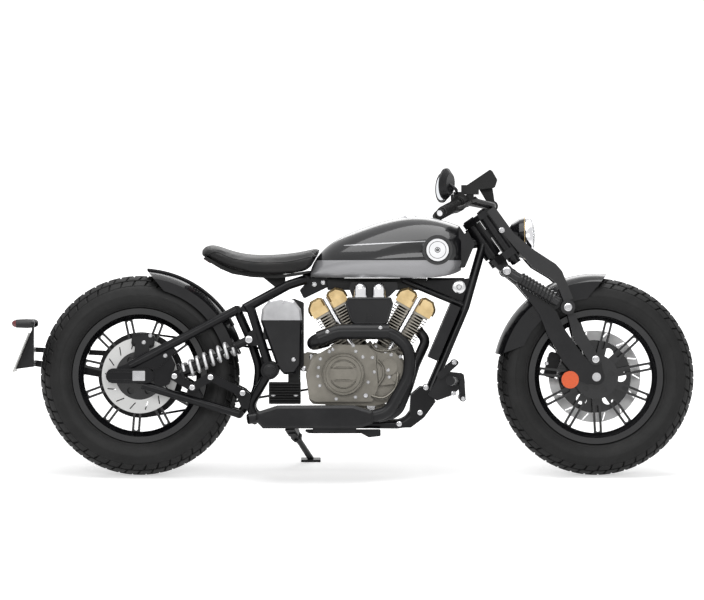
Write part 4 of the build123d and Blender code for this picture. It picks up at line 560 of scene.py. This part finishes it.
SHIELD_SCREWS = [(607, 465, 5), (777, 478, 5)]
CRADLE_SCREWS = [(905, 205, 6.5), (838, 169, 6.5), (924, 286, 6.5)]
FOOT_SCREWS = [(962, 389, 6), (954, 371, 6), (1015, 367, 6), (1052, 312, 5), (1013, 267, 6), (1042, 251, 5)]
REAR_CALIPER_SCREWS = [(35, 453, 5), (15, 431, 5)]
FRONT_CALIPER_SCREWS = [(1296, 388, 6), (1318, 362, 6), (1290, 322, 6), (1302, 292, 6)]
GIRDER_SCREWS = [(1184, 662, 10), (1381, 545, 10), (1471, 377, 9), (1148, 725, 7), (1168, 793, 7)]
PIVOT_SCREW = [(421, 341, 16)]


def bolt(bm, origin, axis, radius, hexagon):
    """Washer and head of a screw, with a hex or a socket head."""
    height = 0.7 * radius + 1.5
    turned(bm, origin, axis, [(-1.0, radius * 1.28), (0.7, radius * 1.28), (1.0, radius * 1.2)], 24)
    if hexagon:
        head = [(0.9, radius * 1.05), (height * 0.85, radius * 1.05), (height, radius * 0.86)]
        turned(bm, origin, axis, head, 6)
    else:
        head = [(0.9, radius), (height * 0.8, radius), (height, radius * 0.84), (height, radius * 0.5),
                (height * 0.45, radius * 0.46)]
        turned(bm, origin, axis, head, 24)


def screws(name, body, nodes, table, sides=(-1, 1), hexagon=False, finish="bright"):
    tree = tree_of(*nodes)
    bm = bmesh.new()
    for side in sides:
        for x, z, radius in table:
            y = surface_y(tree, x, z, side)
            if y is not None:
                bolt(bm, (x, y, z), (0, side, 0), radius, hexagon)
    piece(name, bm, body, finish)


def all_screws():
    bike = [name for name, item in NODES.items() if body_of(item) == ["frame"]]
    case = ["crankcase", "engine_covers"]
    engine = case + ["frame_spine", "frame_cradle", "cylinders", "cylinder_heads"]
    both, right = (-1, 1), (-1,)
    for name, nodes, table, sides, hexagon in [
            ("gusset_screws", ["frame_spine"], GUSSET_SCREWS, both, False),
            ("shock_screws", bike, SHOCK_SCREWS, both, True),
            ("side_cover_screws", ["side_covers", "side_cover_caps"], COVER_SCREWS, both, False),
            ("regulator_screws", bike, REGULATOR_SCREWS, right, False),
            ("rocker_screws", ["swingarm", "shock_linkages"], ROCKER_SCREWS, both, True),
            ("clutch_screws", case, CLUTCH_SCREWS, both, False),
            ("cam_screws", case, CAM_SCREWS, right, False),
            ("engine_mount_screws", engine, MOUNT_SCREWS, both, True),
            ("shield_screws", ["exhaust_headers"], SHIELD_SCREWS, right, False),
            ("cradle_screws", ["frame_cradle", "crankcase"], CRADLE_SCREWS, both, True),
            ("foot_control_screws", ["foot_controls", "frame_cradle"], FOOT_SCREWS, both, False),
            ("rear_caliper_screws", ["rear_caliper"], REAR_CALIPER_SCREWS, right, False)]:
        screws(name, "frame", nodes, table, sides, hexagon)
    screws("swingarm_pivot_bolt", "frame", bike, PIVOT_SCREW, hexagon=True,
           finish="satin_black")
    screws("girder_screws", "steering", ["girders", "fork_arms", "fork_clamps", "front_axle"], GIRDER_SCREWS)
    screws("front_caliper_screws", "steering", ["front_caliper"], FRONT_CALIPER_SCREWS, right)


# Tyres: the true outer shape, with raised blocks on the crown and thin rings on the sidewalls
TYRES = {
    "rear": {"hub": REAR_HUB, "radius": 323.0, "width": 150.0, "crown": 82.0, "rim_width": 100.0,
             "blocks": 46},
    "front": {"hub": FRONT_HUB, "radius": 319.0, "width": 130.0, "crown": 70.0, "rim_width": 88.0,
              "blocks": 45},
}
BEAD_RADIUS = 203.0
BEAD_WIDTH = 14
LINER_WIDTH = 12
LINER_RADIUS = 223.0
RIM_LIP_RADIUS = 217.0
SHOULDER_SHARE = 0.44
BELLY_RISE = 3.0
CARCASS_THICKNESS = 13.0
CROWN_STEPS = 12
CROWN_END = 0.97
WALL_STEPS = 60
WALL_END = 0.985
LINER_STEPS = 24
TYRE_STEPS = 240
# block rows: from and to, as shares of the way from the middle to the shoulder; phase; skew in lengths
TREAD_ROWS = [(-0.30, 0.30, 0.0, 0.12), (0.34, 0.64, 0.5, 0.22), (-0.34, -0.64, 0.5, 0.22),
              (0.69, 1.0, 0.0, 0.22), (-0.69, -1.0, 0.0, 0.22)]
TREAD_DEPTH = 6.0
TREAD_GAP = 0.12
TREAD_CHAMFER = 1.6
# share of the sidewall's height, and height of the ring
SIDEWALL_RINGS = [(0.10, 0.9), (0.145, 0.9), (0.22, 0.7), (0.60, 0.6), (0.64, 0.6)]
RING_HALF_SHARE = 0.012


def arc_through(first, middle, last, count):
    """Points of the arc through three points of a plane, and its centre."""
    (ax, ay), (bx, by), (cx, cy) = first, middle, last
    twice = 2 * (ax * (by - cy) + bx * (cy - ay) + cx * (ay - by))
    a, b, c = ax ** 2 + ay ** 2, bx ** 2 + by ** 2, cx ** 2 + cy ** 2
    ux = (a * (by - cy) + b * (cy - ay) + c * (ay - by)) / twice
    uy = (a * (cx - bx) + b * (ax - cx) + c * (bx - ax)) / twice
    radius = math.hypot(ax - ux, ay - uy)
    begin, end = math.atan2(ay - uy, ax - ux), math.atan2(cy - uy, cx - ux)
    turn = (end - begin + math.pi) % math.tau - math.pi
    angles = [begin + turn * n / count for n in range(count + 1)]
    return [(ux + radius * math.cos(angle), uy + radius * math.sin(angle)) for angle in angles], (ux, uy)


def tyre_profile(size):
    """Half of the carcass's section, from the crown's middle to the bead and back inside, as rows of
    (across, radius)."""
    half = size["rim_width"] / 2
    base = size["radius"] - size["crown"]
    shoulder_y = SHOULDER_SHARE * size["width"]
    shoulder_r = base + math.sqrt(size["crown"] ** 2 - shoulder_y ** 2)
    belly = (size["width"] / 2, (RIM_LIP_RADIUS + shoulder_r) / 2 + BELLY_RISE)
    reach = size["crown"] - TREAD_DEPTH
    edge = math.asin(shoulder_y / size["crown"])
    angles = [edge * CROWN_END * n / CROWN_STEPS for n in range(CROWN_STEPS + 1)]
    outer = [(reach * math.sin(angle), base + reach * math.cos(angle)) for angle in angles]
    wall, centre = arc_through((half, RIM_LIP_RADIUS), belly, (shoulder_y, shoulder_r), WALL_STEPS)
    ribbed = []
    for n, (y, r) in enumerate(wall):
        share = n / WALL_STEPS
        if share > WALL_END:
            continue
        lift = sum(height for where, height in SIDEWALL_RINGS if abs(share - where) < RING_HALF_SHARE)
        away = Vector((y - centre[0], r - centre[1])).normalized() * lift
        ribbed.append((y + away.x, r + away.y))
    bead = [(half, BEAD_RADIUS), (half - BEAD_WIDTH, BEAD_RADIUS), (half - LINER_WIDTH, LINER_RADIUS)]
    inner, _ = arc_through(bead[-1], (0, size["radius"] - CARCASS_THICKNESS),
                           (LINER_WIDTH - half, LINER_RADIUS), LINER_STEPS)
    return outer + ribbed[::-1] + bead + inner[1:LINER_STEPS // 2 + 1]


def tread_block(bm, spot, low, high, begin, end, skew):
    """One raised block with broken edges; spot(across, along, height) gives a point of the tyre."""
    columns, rows = 3, 2

    def corner(column, row, grow, height):
        across = low - grow + (high - low + 2 * grow) * column / columns
        along = begin - grow + (end - begin + 2 * grow) * row / rows + skew * (column / columns - 0.5)
        return bm.verts.new(spot(across, along, height))

    top = [[corner(column, row, -TREAD_CHAMFER, 0.0) for column in range(columns + 1)]
           for row in range(rows + 1)]
    for near, far in zip(top, top[1:]):
        for column in range(columns):
            bm.faces.new((near[column], near[column + 1], far[column + 1], far[column]))
    border = [(column, 0) for column in range(columns)] + [(columns, row) for row in range(rows)]
    border += [(columns - column, rows) for column in range(columns)]
    border += [(0, rows - row) for row in range(rows)]
    loop = [top[row][column] for column, row in border]
    for grow, height in ((0.0, -TREAD_CHAMFER), (0.3, -TREAD_DEPTH - 1.0)):
        below = [corner(column, row, grow, height) for column, row in border]
        for n in range(len(loop)):
            follow = (n + 1) % len(loop)
            bm.faces.new((loop[n], loop[follow], below[follow], below[n]))
        loop = below


def tyre(name):
    size = TYRES[name]
    hub_x, hub_z = size["hub"]
    bm = bmesh.new()
    half = tyre_profile(size)
    section = half + [(-across, radius) for across, radius in half[1:-1][::-1]]
    band(bm, (hub_x, 0, hub_z), (0, 1, 0), section, TYRE_STEPS)
    edge = math.asin(SHOULDER_SHARE * size["width"] / size["crown"]) * size["crown"]

    def spot(across, along, height):
        lean = across / size["crown"]
        reach = size["crown"] + height
        radius = size["radius"] - size["crown"] + reach * math.cos(lean)
        turn = along / size["radius"]
        return (hub_x + radius * math.cos(turn), reach * math.sin(lean), hub_z + radius * math.sin(turn))

    pitch = math.tau * size["radius"] / size["blocks"]
    for inner, outer, phase, skew in TREAD_ROWS:
        low, high = sorted((inner * edge, outer * edge))
        lead = math.copysign(skew * pitch, inner + outer)
        for n in range(size["blocks"]):
            begin = (n + phase) * pitch
            tread_block(bm, spot, low, high, begin, begin + pitch * (1 - TREAD_GAP), lead)
    item = piece(f"{name}_tyre_treaded", bm, f"{name}_wheel", "tyre")
    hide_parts(f"{name}_tyre")


# Saddle
SADDLE_SHRINK = 0.002
SADDLE_VOXEL = 0.005
SADDLE_PRESSURE = 4.0
SADDLE_FRAMES = 20
SADDLE_CAP = 0.004
SADDLE_HELD = 12
WELD_DISTANCE = 0.00002
PIPING_RADIUS = 2.4
PIPING_SINK = 0.6
PIPING_LINE = [(224, 716), (250, 722), (300, 702), (360, 691), (417, 688), (483, 692), (540, 704), (572, 711)]


def settled(item):
    """Mesh of a piece with its modifiers' result."""
    graph = bpy.context.evaluated_depsgraph_get()
    return bpy.data.meshes.new_from_object(item.evaluated_get(graph))


def relaxed(mesh, rounds):
    bm = bmesh.new()
    bm.from_mesh(mesh)
    for _ in range(rounds):
        bmesh.ops.smooth_vert(bm, verts=bm.verts, factor=0.5, use_axis_x=True, use_axis_y=True,
                              use_axis_z=True)
    bm.to_mesh(mesh)
    bm.free()


def saddle():
    """Padded saddle: the CAD pad drawn in a little, remeshed and blown up under its cover."""
    mesh = NODES["seat_pad"].data.copy()
    bm = bmesh.new()
    bm.from_mesh(mesh)
    bmesh.ops.remove_doubles(bm, verts=bm.verts, dist=WELD_DISTANCE)
    bm.normal_update()
    moves = [vertex.normal * SADDLE_SHRINK for vertex in bm.verts]
    for vertex, move in zip(bm.verts, moves):
        vertex.co -= move
    bm.to_mesh(mesh)
    bm.free()
    item = add_object("saddle_cover", mesh)
    remesh = item.modifiers.new("remesh", "REMESH")
    remesh.mode = "VOXEL"
    remesh.voxel_size = SADDLE_VOXEL
    item.data = settled(item)
    item.modifiers.clear()
    relaxed(item.data, 4)
    blow_up(item)
    relaxed(item.data, 2)
    item.data.materials.clear()
    item.data.materials.append(FINISH["leather"])
    for polygon in item.data.polygons:
        polygon.use_smooth = True
    smooth = item.modifiers.new("smooth", "SUBSURF")
    smooth.levels = smooth.render_levels = 1
    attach(item, "frame")
    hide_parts("seat_pad")
    saddle_piping(item)


def blow_up(item):
    """Cloth simulation with pressure and no gravity; the base is held and each point's move is capped."""
    rest = [vertex.co.copy() for vertex in item.data.vertices]
    heights = [(LEVEL @ co).z for co in rest]
    base = min(heights)
    cloth = item.modifiers.new("cloth", "CLOTH")
    cloth.settings.use_pressure = True
    cloth.settings.uniform_pressure_force = SADDLE_PRESSURE
    cloth.settings.effector_weights.gravity = 0
    cloth.point_cache.frame_end = SADDLE_FRAMES
    pinned = item.vertex_groups.new(name="held")
    held = [n for n, height in enumerate(heights) if height < base + SADDLE_HELD]
    pinned.add(held, 1.0, "REPLACE")
    cloth.settings.vertex_group_mass = "held"
    scene = bpy.context.scene
    for step in range(1, SADDLE_FRAMES + 1):
        scene.frame_set(step)
    mesh = settled(item)
    for vertex, start in zip(mesh.vertices, rest):
        move = vertex.co - start
        if move.length > SADDLE_CAP:
            vertex.co = start + move * (SADDLE_CAP / move.length)
    item.modifiers.clear()
    item.data = mesh
    scene.frame_set(1)


def saddle_piping(cover):
    """Welt between the saddle's top and its side panels, on both sides."""
    mesh = cover.data
    tree = BVHTree.FromPolygons([vertex.co.copy() for vertex in mesh.vertices],
                                [tuple(polygon.vertices) for polygon in mesh.polygons])
    bm = bmesh.new()
    for side in (-1, 1):
        route = [(x, surface_y(tree, x, z, side), z) for x, z in smooth_line(PIPING_LINE, 10)]
        points = [(x, y - side * PIPING_SINK, z) for x, y, z in route if y is not None]
        tube(bm, points, PIPING_RADIUS, 8)
    piece("saddle_piping", bm, "frame", "leather")


# Engine: rings and chords on the clutch cover, plugs, gusset rounds and pipes
CLUTCH_CENTRE = (658, 329)
CLUTCH_RINGS = [(66, 1.8), (58, 1.2)]
CLUTCH_CHORDS = (20, -20)
CHORD_RADIUS = 44
CHORD_STEPS = 24
CHORD_THICKNESS = 1.5
PLUGS = [(747, 225, 15), (730, 260, 8)]
GUSSET_ROUND = (1032, 610, 21)
# points of the route, and radius
ENGINE_PIPES = [([(744, 432), (764, 408), (802, 404), (838, 416)], 4.5),
                ([(770, 372), (786, 352), (788, 322), (772, 296)], 4),
                ([(752, 258), (790, 254), (826, 286), (834, 330)], 5),
                ([(600, 420), (640, 436), (690, 438)], 4)]
PIPE_STANDOFF = 2.0
PIPE_END_DEPTH = 16


def disc_on(bm, tree, x, z, side, profile):
    """Turned trim on the first surface met from one side."""
    y = surface_y(tree, x, z, side)
    if y is not None:
        turned(bm, (x, y, z), (0, side, 0), profile, 48)


def engine_trim():
    tree = tree_of("crankcase", "engine_covers")
    rings, plugs, rounds = bmesh.new(), bmesh.new(), bmesh.new()
    x, z = CLUTCH_CENTRE
    for side in (-1, 1):
        y = surface_y(tree, x, z, side)
        for radius, thickness in CLUTCH_RINGS:
            hoop(rings, (x, y, z), (0, 1, 0), radius, thickness)
        for chord in CLUTCH_CHORDS:
            start = math.atan2(chord, math.sqrt(CHORD_RADIUS ** 2 - chord ** 2))
            stop = math.copysign(math.pi, chord) - start
            angles = [start + (stop - start) * n / CHORD_STEPS for n in range(CHORD_STEPS + 1)]
            arc = [(x + CHORD_RADIUS * math.cos(angle), y, z + CHORD_RADIUS * math.sin(angle))
                   for angle in angles]
            tube(rings, arc + arc[:1], CHORD_THICKNESS, 8)
    piece("clutch_cover_rings", rings, "frame", "bronze")
    for x, z, radius in PLUGS:
        disc_on(plugs, tree, x, z, -1,
                [(-1, radius), (3, radius), (4.5, radius * 0.86), (4.5, radius * 0.5), (2, radius * 0.45)])
    piece("oil_plugs", plugs, "frame", "bright")
    x, z, radius = GUSSET_ROUND
    tree = tree_of("frame_spine", "radiator")
    for side in (-1, 1):
        disc_on(rounds, tree, x, z, side,
                [(-1, radius), (3.0, radius), (5.0, radius * 0.84), (5.0, radius * 0.4), (7.0, radius * 0.3)])
    piece("gusset_rounds", rounds, "frame", "bright")


def engine_pipes():
    """Short metal pipes over the crankcase's right side."""
    tree = tree_of("crankcase", "engine_covers")
    bm = bmesh.new()
    for route, radius in ENGINE_PIPES:
        line = smooth_line(route, 6)
        front = min(surface_y(tree, x, z, -1) or 0.0 for x, z in line) - radius + PIPE_STANDOFF
        points = [(x, front, z) for x, z in line]
        first, last = [(x, front + PIPE_END_DEPTH, z) for x, z in (line[0], line[-1])]
        tube(bm, [first] + points + [last], radius)
    piece("engine_pipes", bm, "frame", "bronze")


# Tank
FUEL_CAP = (874, 832)
FUEL_CAP_PROFILE = [(-4, 30), (3, 30), (6, 27), (6, 22), (9.5, 20), (11, 12), (11.5, 2)]
GAUGE_RINGS = [(37.5, 1.6), (27, 0.9), (8, 1.2), (3, 2.0)]
GAUGE_PROBE = 6


def tank_trim():
    bm = bmesh.new()
    turned(bm, (FUEL_CAP[0], 0, FUEL_CAP[1]), (0, 0, 1), FUEL_CAP_PROFILE, 40)
    piece("fuel_cap", bm, "frame", "chrome")
    rings = bmesh.new()
    tree = tree_of("tank_gauges")
    x, z = GAUGE_CENTRE
    for side in (-1, 1):
        y = surface_y(tree, x + GAUGE_PROBE, z, side)
        for radius, thickness in GAUGE_RINGS:
            hoop(rings, (x, y, z), (0, 1, 0), radius, thickness)
    piece("gauge_rings", rings, "frame", "gloss_black")


# Dark housings between the tank, the heads and the gusset, and the airbox's raised rim
TANK_UNDERSIDE = [((606, -44, 600), (928, 44, 638.6)), ((929, -14, 606), (1050, 14, 640))]
AIR_BOX_FACE_Y = -128.0
AIR_BOX_RIM = [(669, 557), (675, 572), (809, 572), (814, 557), (798, 500), (789, 493), (695, 493), (686, 500)]
AIR_BOX_SEAMS = [(734, 494, 520), (748, 494, 520)]


def tank_underside():
    bm = bmesh.new()
    for low, high in TANK_UNDERSIDE:
        block(bm, low, high, 3.0)
    piece("coil_housings", bm, "frame", "plastic")
    bm = bmesh.new()
    rim = [(x, AIR_BOX_FACE_Y, z) for x, z in AIR_BOX_RIM]
    tube(bm, rim + rim[:1], 2.4, 8)
    for x, low, high in AIR_BOX_SEAMS:
        tube(bm, [(x, AIR_BOX_FACE_Y, low), (x, AIR_BOX_FACE_Y, high)], 1.5, 8)
    piece("air_box_rim", bm, "frame", "girder_grey")


# Rear lamps on the plate bracket's bar
LAMP_BAR_Y, LAMP_Z = 112, 492
LAMP_PROFILE = [(-336, 4), (-338, 9), (-346, 13.5), (-360, 15), (-396, 13.5)]
LAMP_LENS = [(-395, 12.6), (-403, 11.0), (-408, 7.0), (-410, 2.5)]


def rear_lamps():
    shells, lenses = bmesh.new(), bmesh.new()
    for side in (-1, 1):
        for bm, profile in ((shells, LAMP_PROFILE), (lenses, LAMP_LENS)):
            turned(bm, (0, side * LAMP_BAR_Y, LAMP_Z), (1, 0, 0), profile, 28)
    piece("rear_lamp_shells", shells, "frame", "gloss_black")
    piece("rear_lamp_lenses", lenses, "frame", "red")


# Headlight
HEADLIGHT_Z = 768.0
RIM_SECTION = [(1247, 66.5), (1247, 69.0), (1251, 70.5), (1263, 70.5), (1269, 67.0), (1270, 62.0),
               (1267, 59.5), (1262, 62.0)]
LENS_SECTION = [(1262, 60.5), (1268, 58), (1273, 48), (1276.5, 34), (1278.5, 18), (1279, 3)]
HEADLIGHT_LINE_X, HEADLIGHT_LINE_RADIUS, HEADLIGHT_LINE_THICKNESS = 1243.5, 67.6, 1.3


def headlight_trim():
    rim, glass, line = bmesh.new(), bmesh.new(), bmesh.new()
    band(rim, (0, 0, HEADLIGHT_Z), (1, 0, 0), RIM_SECTION, 72)
    piece("headlight_rim", rim, "steering", "chrome")
    turned(glass, (0, 0, HEADLIGHT_Z), (1, 0, 0), LENS_SECTION, 72)
    piece("headlight_glass", glass, "steering", "lens")
    hoop(line, (HEADLIGHT_LINE_X, 0, HEADLIGHT_Z), (1, 0, 0), HEADLIGHT_LINE_RADIUS,
         HEADLIGHT_LINE_THICKNESS, 72, 8)
    piece("headlight_line", line, "steering", "gold")


# Controls
BAR_END = Vector((971, 400, 847))
BAR_KNEE = Vector((1052, 236, 890))
GRIP_RIBS = 17
GRIP_RIB_START, GRIP_RIB_PITCH = 8, 6.2
GRIP_RIB_RADIUS, GRIP_RIB_THICKNESS = 16.1, 1.3
BAR_CAP_PROFILE = [(-17.2, 5), (-16.8, 9.5), (-14.5, 10.5), (-10, 10.5)]


def control_trim():
    ribs, caps = bmesh.new(), bmesh.new()
    for side in (-1, 1):
        flip = Vector((1, side, 1))
        end = BAR_END * flip
        inward = (BAR_KNEE * flip - end).normalized()
        for n in range(GRIP_RIBS):
            hoop(ribs, end + inward * (GRIP_RIB_START + n * GRIP_RIB_PITCH), inward, GRIP_RIB_RADIUS,
                 GRIP_RIB_THICKNESS, 28, 6)
        turned(caps, end, inward, BAR_CAP_PROFILE)
    piece("grip_ribs", ribs, "steering", "rubber")
    piece("bar_end_caps", caps, "steering", "bright")


MIRROR_CENTRE = Vector((987, 322, 938))
MIRROR_TURN = math.radians(25)
MIRROR_GLASS_RADIUS = 42.0
MIRROR_GLASS_DEPTH = 5.6


def mirror_glass():
    bm = bmesh.new()
    for side in (-1, 1):
        centre = MIRROR_CENTRE * Vector((1, side, 1))
        facing = Vector((-math.cos(MIRROR_TURN), -side * math.sin(MIRROR_TURN), 0.05)).normalized()
        turned(bm, centre + facing * MIRROR_GLASS_DEPTH, facing,
               [(0, MIRROR_GLASS_RADIUS), (1.0, MIRROR_GLASS_RADIUS - 0.6)], 48)
    piece("mirror_glass", bm, "steering", "mirror")


# Swingarm's axle block
RIDGE_X = (-98, 20)
RIDGE_Z = [304, 311, 336, 343]
RIDGE_HALF_WIDTH = 1.2
RIDGE_HEIGHT = 1.4
RIDGE_PROBE_X = -70


def axle_block_ridges():
    tree = tree_of("swingarm")
    bm = bmesh.new()
    for side in (-1, 1):
        for z in RIDGE_Z:
            face = surface_y(tree, RIDGE_PROBE_X, z, side)
            low, high = sorted((face, face + side * RIDGE_HEIGHT))
            block(bm, (RIDGE_X[0], low, z - RIDGE_HALF_WIDTH), (RIDGE_X[1], high, z + RIDGE_HALF_WIDTH), 0.5)
    piece("axle_block_ridges", bm, "frame", "satin_black")


# Camera, square to the leaning machine's right side
def camera():
    data = bpy.data.cameras.new("camera")
    item = add_object("camera", data)
    data.lens = LENS_MM
    data.sensor_width = SENSOR_MM
    data.clip_end = CLIP_END
    x = (PHOTO_WIDTH / 2 - PHOTO_REAR_AXLE_X) * MM_PER_PIXEL
    z = (PHOTO_FLOOR_Y - PHOTO_HEIGHT / 2) * MM_PER_PIXEL
    back = (TILT @ Vector((0, -1, 0))).normalized()
    distance = PHOTO_WIDTH * MM_PER_PIXEL / 1000 * LENS_MM / SENSOR_MM
    place = Matrix.Translation(UPRIGHT @ Vector((x, 0, z)) + back * distance)
    item.matrix_world = place @ TILT @ Matrix.Rotation(math.radians(90), 4, "X")
    bpy.context.scene.camera = item


# Stage: (name, place, target, size, power)
SOFTBOXES = [
    ("top_softbox", (0.1, -0.2, 3.2), (0, 0, 0.4), (3.8, 2.2), 95),
    ("side_softbox", (-0.3, -4.6, 2.8), (0, 0, 0.5), (4.2, 1.1), 80),
    ("far_softbox", (0.4, 3.8, 2.4), (0, 0, 0.5), (3.2, 1.6), 45),
]
FLOOR_HALF_SIZE = 90
FLOOR_COLOUR = (0.82, 0.82, 0.82, 1)
FLOOR_GLOW = 0.55
FLOOR_FADE = (1.3, 2.6)
ROOM_LIGHT = 0.25
WHITE = (1, 1, 1, 1)


def area_lamp(name, place, target, size, power):
    data = bpy.data.lights.new(name, "AREA")
    data.shape = "RECTANGLE"
    data.size, data.size_y = size
    data.energy = power
    item = add_object(name, data)
    item.location = place
    item.rotation_euler = (Vector(target) - Vector(place)).to_track_quat("-Z", "Y").to_euler()


def seen_directly(tree):
    """1 for camera rays and for those that metal and glass send on, 0 for the light on the machine."""
    path = add_node(tree, "ShaderNodeLightPath")
    seen = math_node(tree, "MAXIMUM", path.outputs["Is Camera Ray"], path.outputs["Is Glossy Ray"])
    return math_node(tree, "MAXIMUM", seen, path.outputs["Is Transmission Ray"])


def stage():
    """White floor that keeps the machine's shadow, white surroundings and soft lamps."""
    bm = bmesh.new()
    bmesh.ops.create_grid(bm, x_segments=1, y_segments=1, size=FLOOR_HALF_SIZE)
    mesh = bpy.data.meshes.new("floor")
    bm.to_mesh(mesh)
    bm.free()
    floor = add_object("floor", mesh)
    material, tree, shader = new_material("floor_white")
    set_inputs(shader, Roughness=0.9, Specular_IOR_Level=0.0, Base_Color=FLOOR_COLOUR, Emission_Color=WHITE)
    far = map_range(tree, vector_node(tree, "LENGTH", position(tree)), From_Min=FLOOR_FADE[0],
                    From_Max=FLOOR_FADE[1], To_Min=FLOOR_GLOW, To_Max=1.0)
    tree.links.new(math_node(tree, "MULTIPLY", seen_directly(tree), far), shader.inputs["Emission Strength"])
    floor.data.materials.append(material)

    world = bpy.data.worlds.new("white")
    bpy.context.scene.world = world
    world.use_nodes = True
    tree = world.node_tree
    background = tree.nodes["Background"]
    background.inputs["Color"].default_value = WHITE
    strength = map_range(tree, seen_directly(tree), To_Min=ROOM_LIGHT, To_Max=1.0)
    tree.links.new(strength, background.inputs["Strength"])
    for row in SOFTBOXES:
        area_lamp(*row)


camera()
stage()
dress_nodes()
for tyre_name in TYRES:
    tyre(tyre_name)
saddle()
all_screws()
engine_trim()
engine_pipes()
tank_trim()
tank_underside()
rear_lamps()
headlight_trim()
control_trim()
mirror_glass()
axle_block_ridges()

bpy.context.scene.view_settings.view_transform = "Standard"
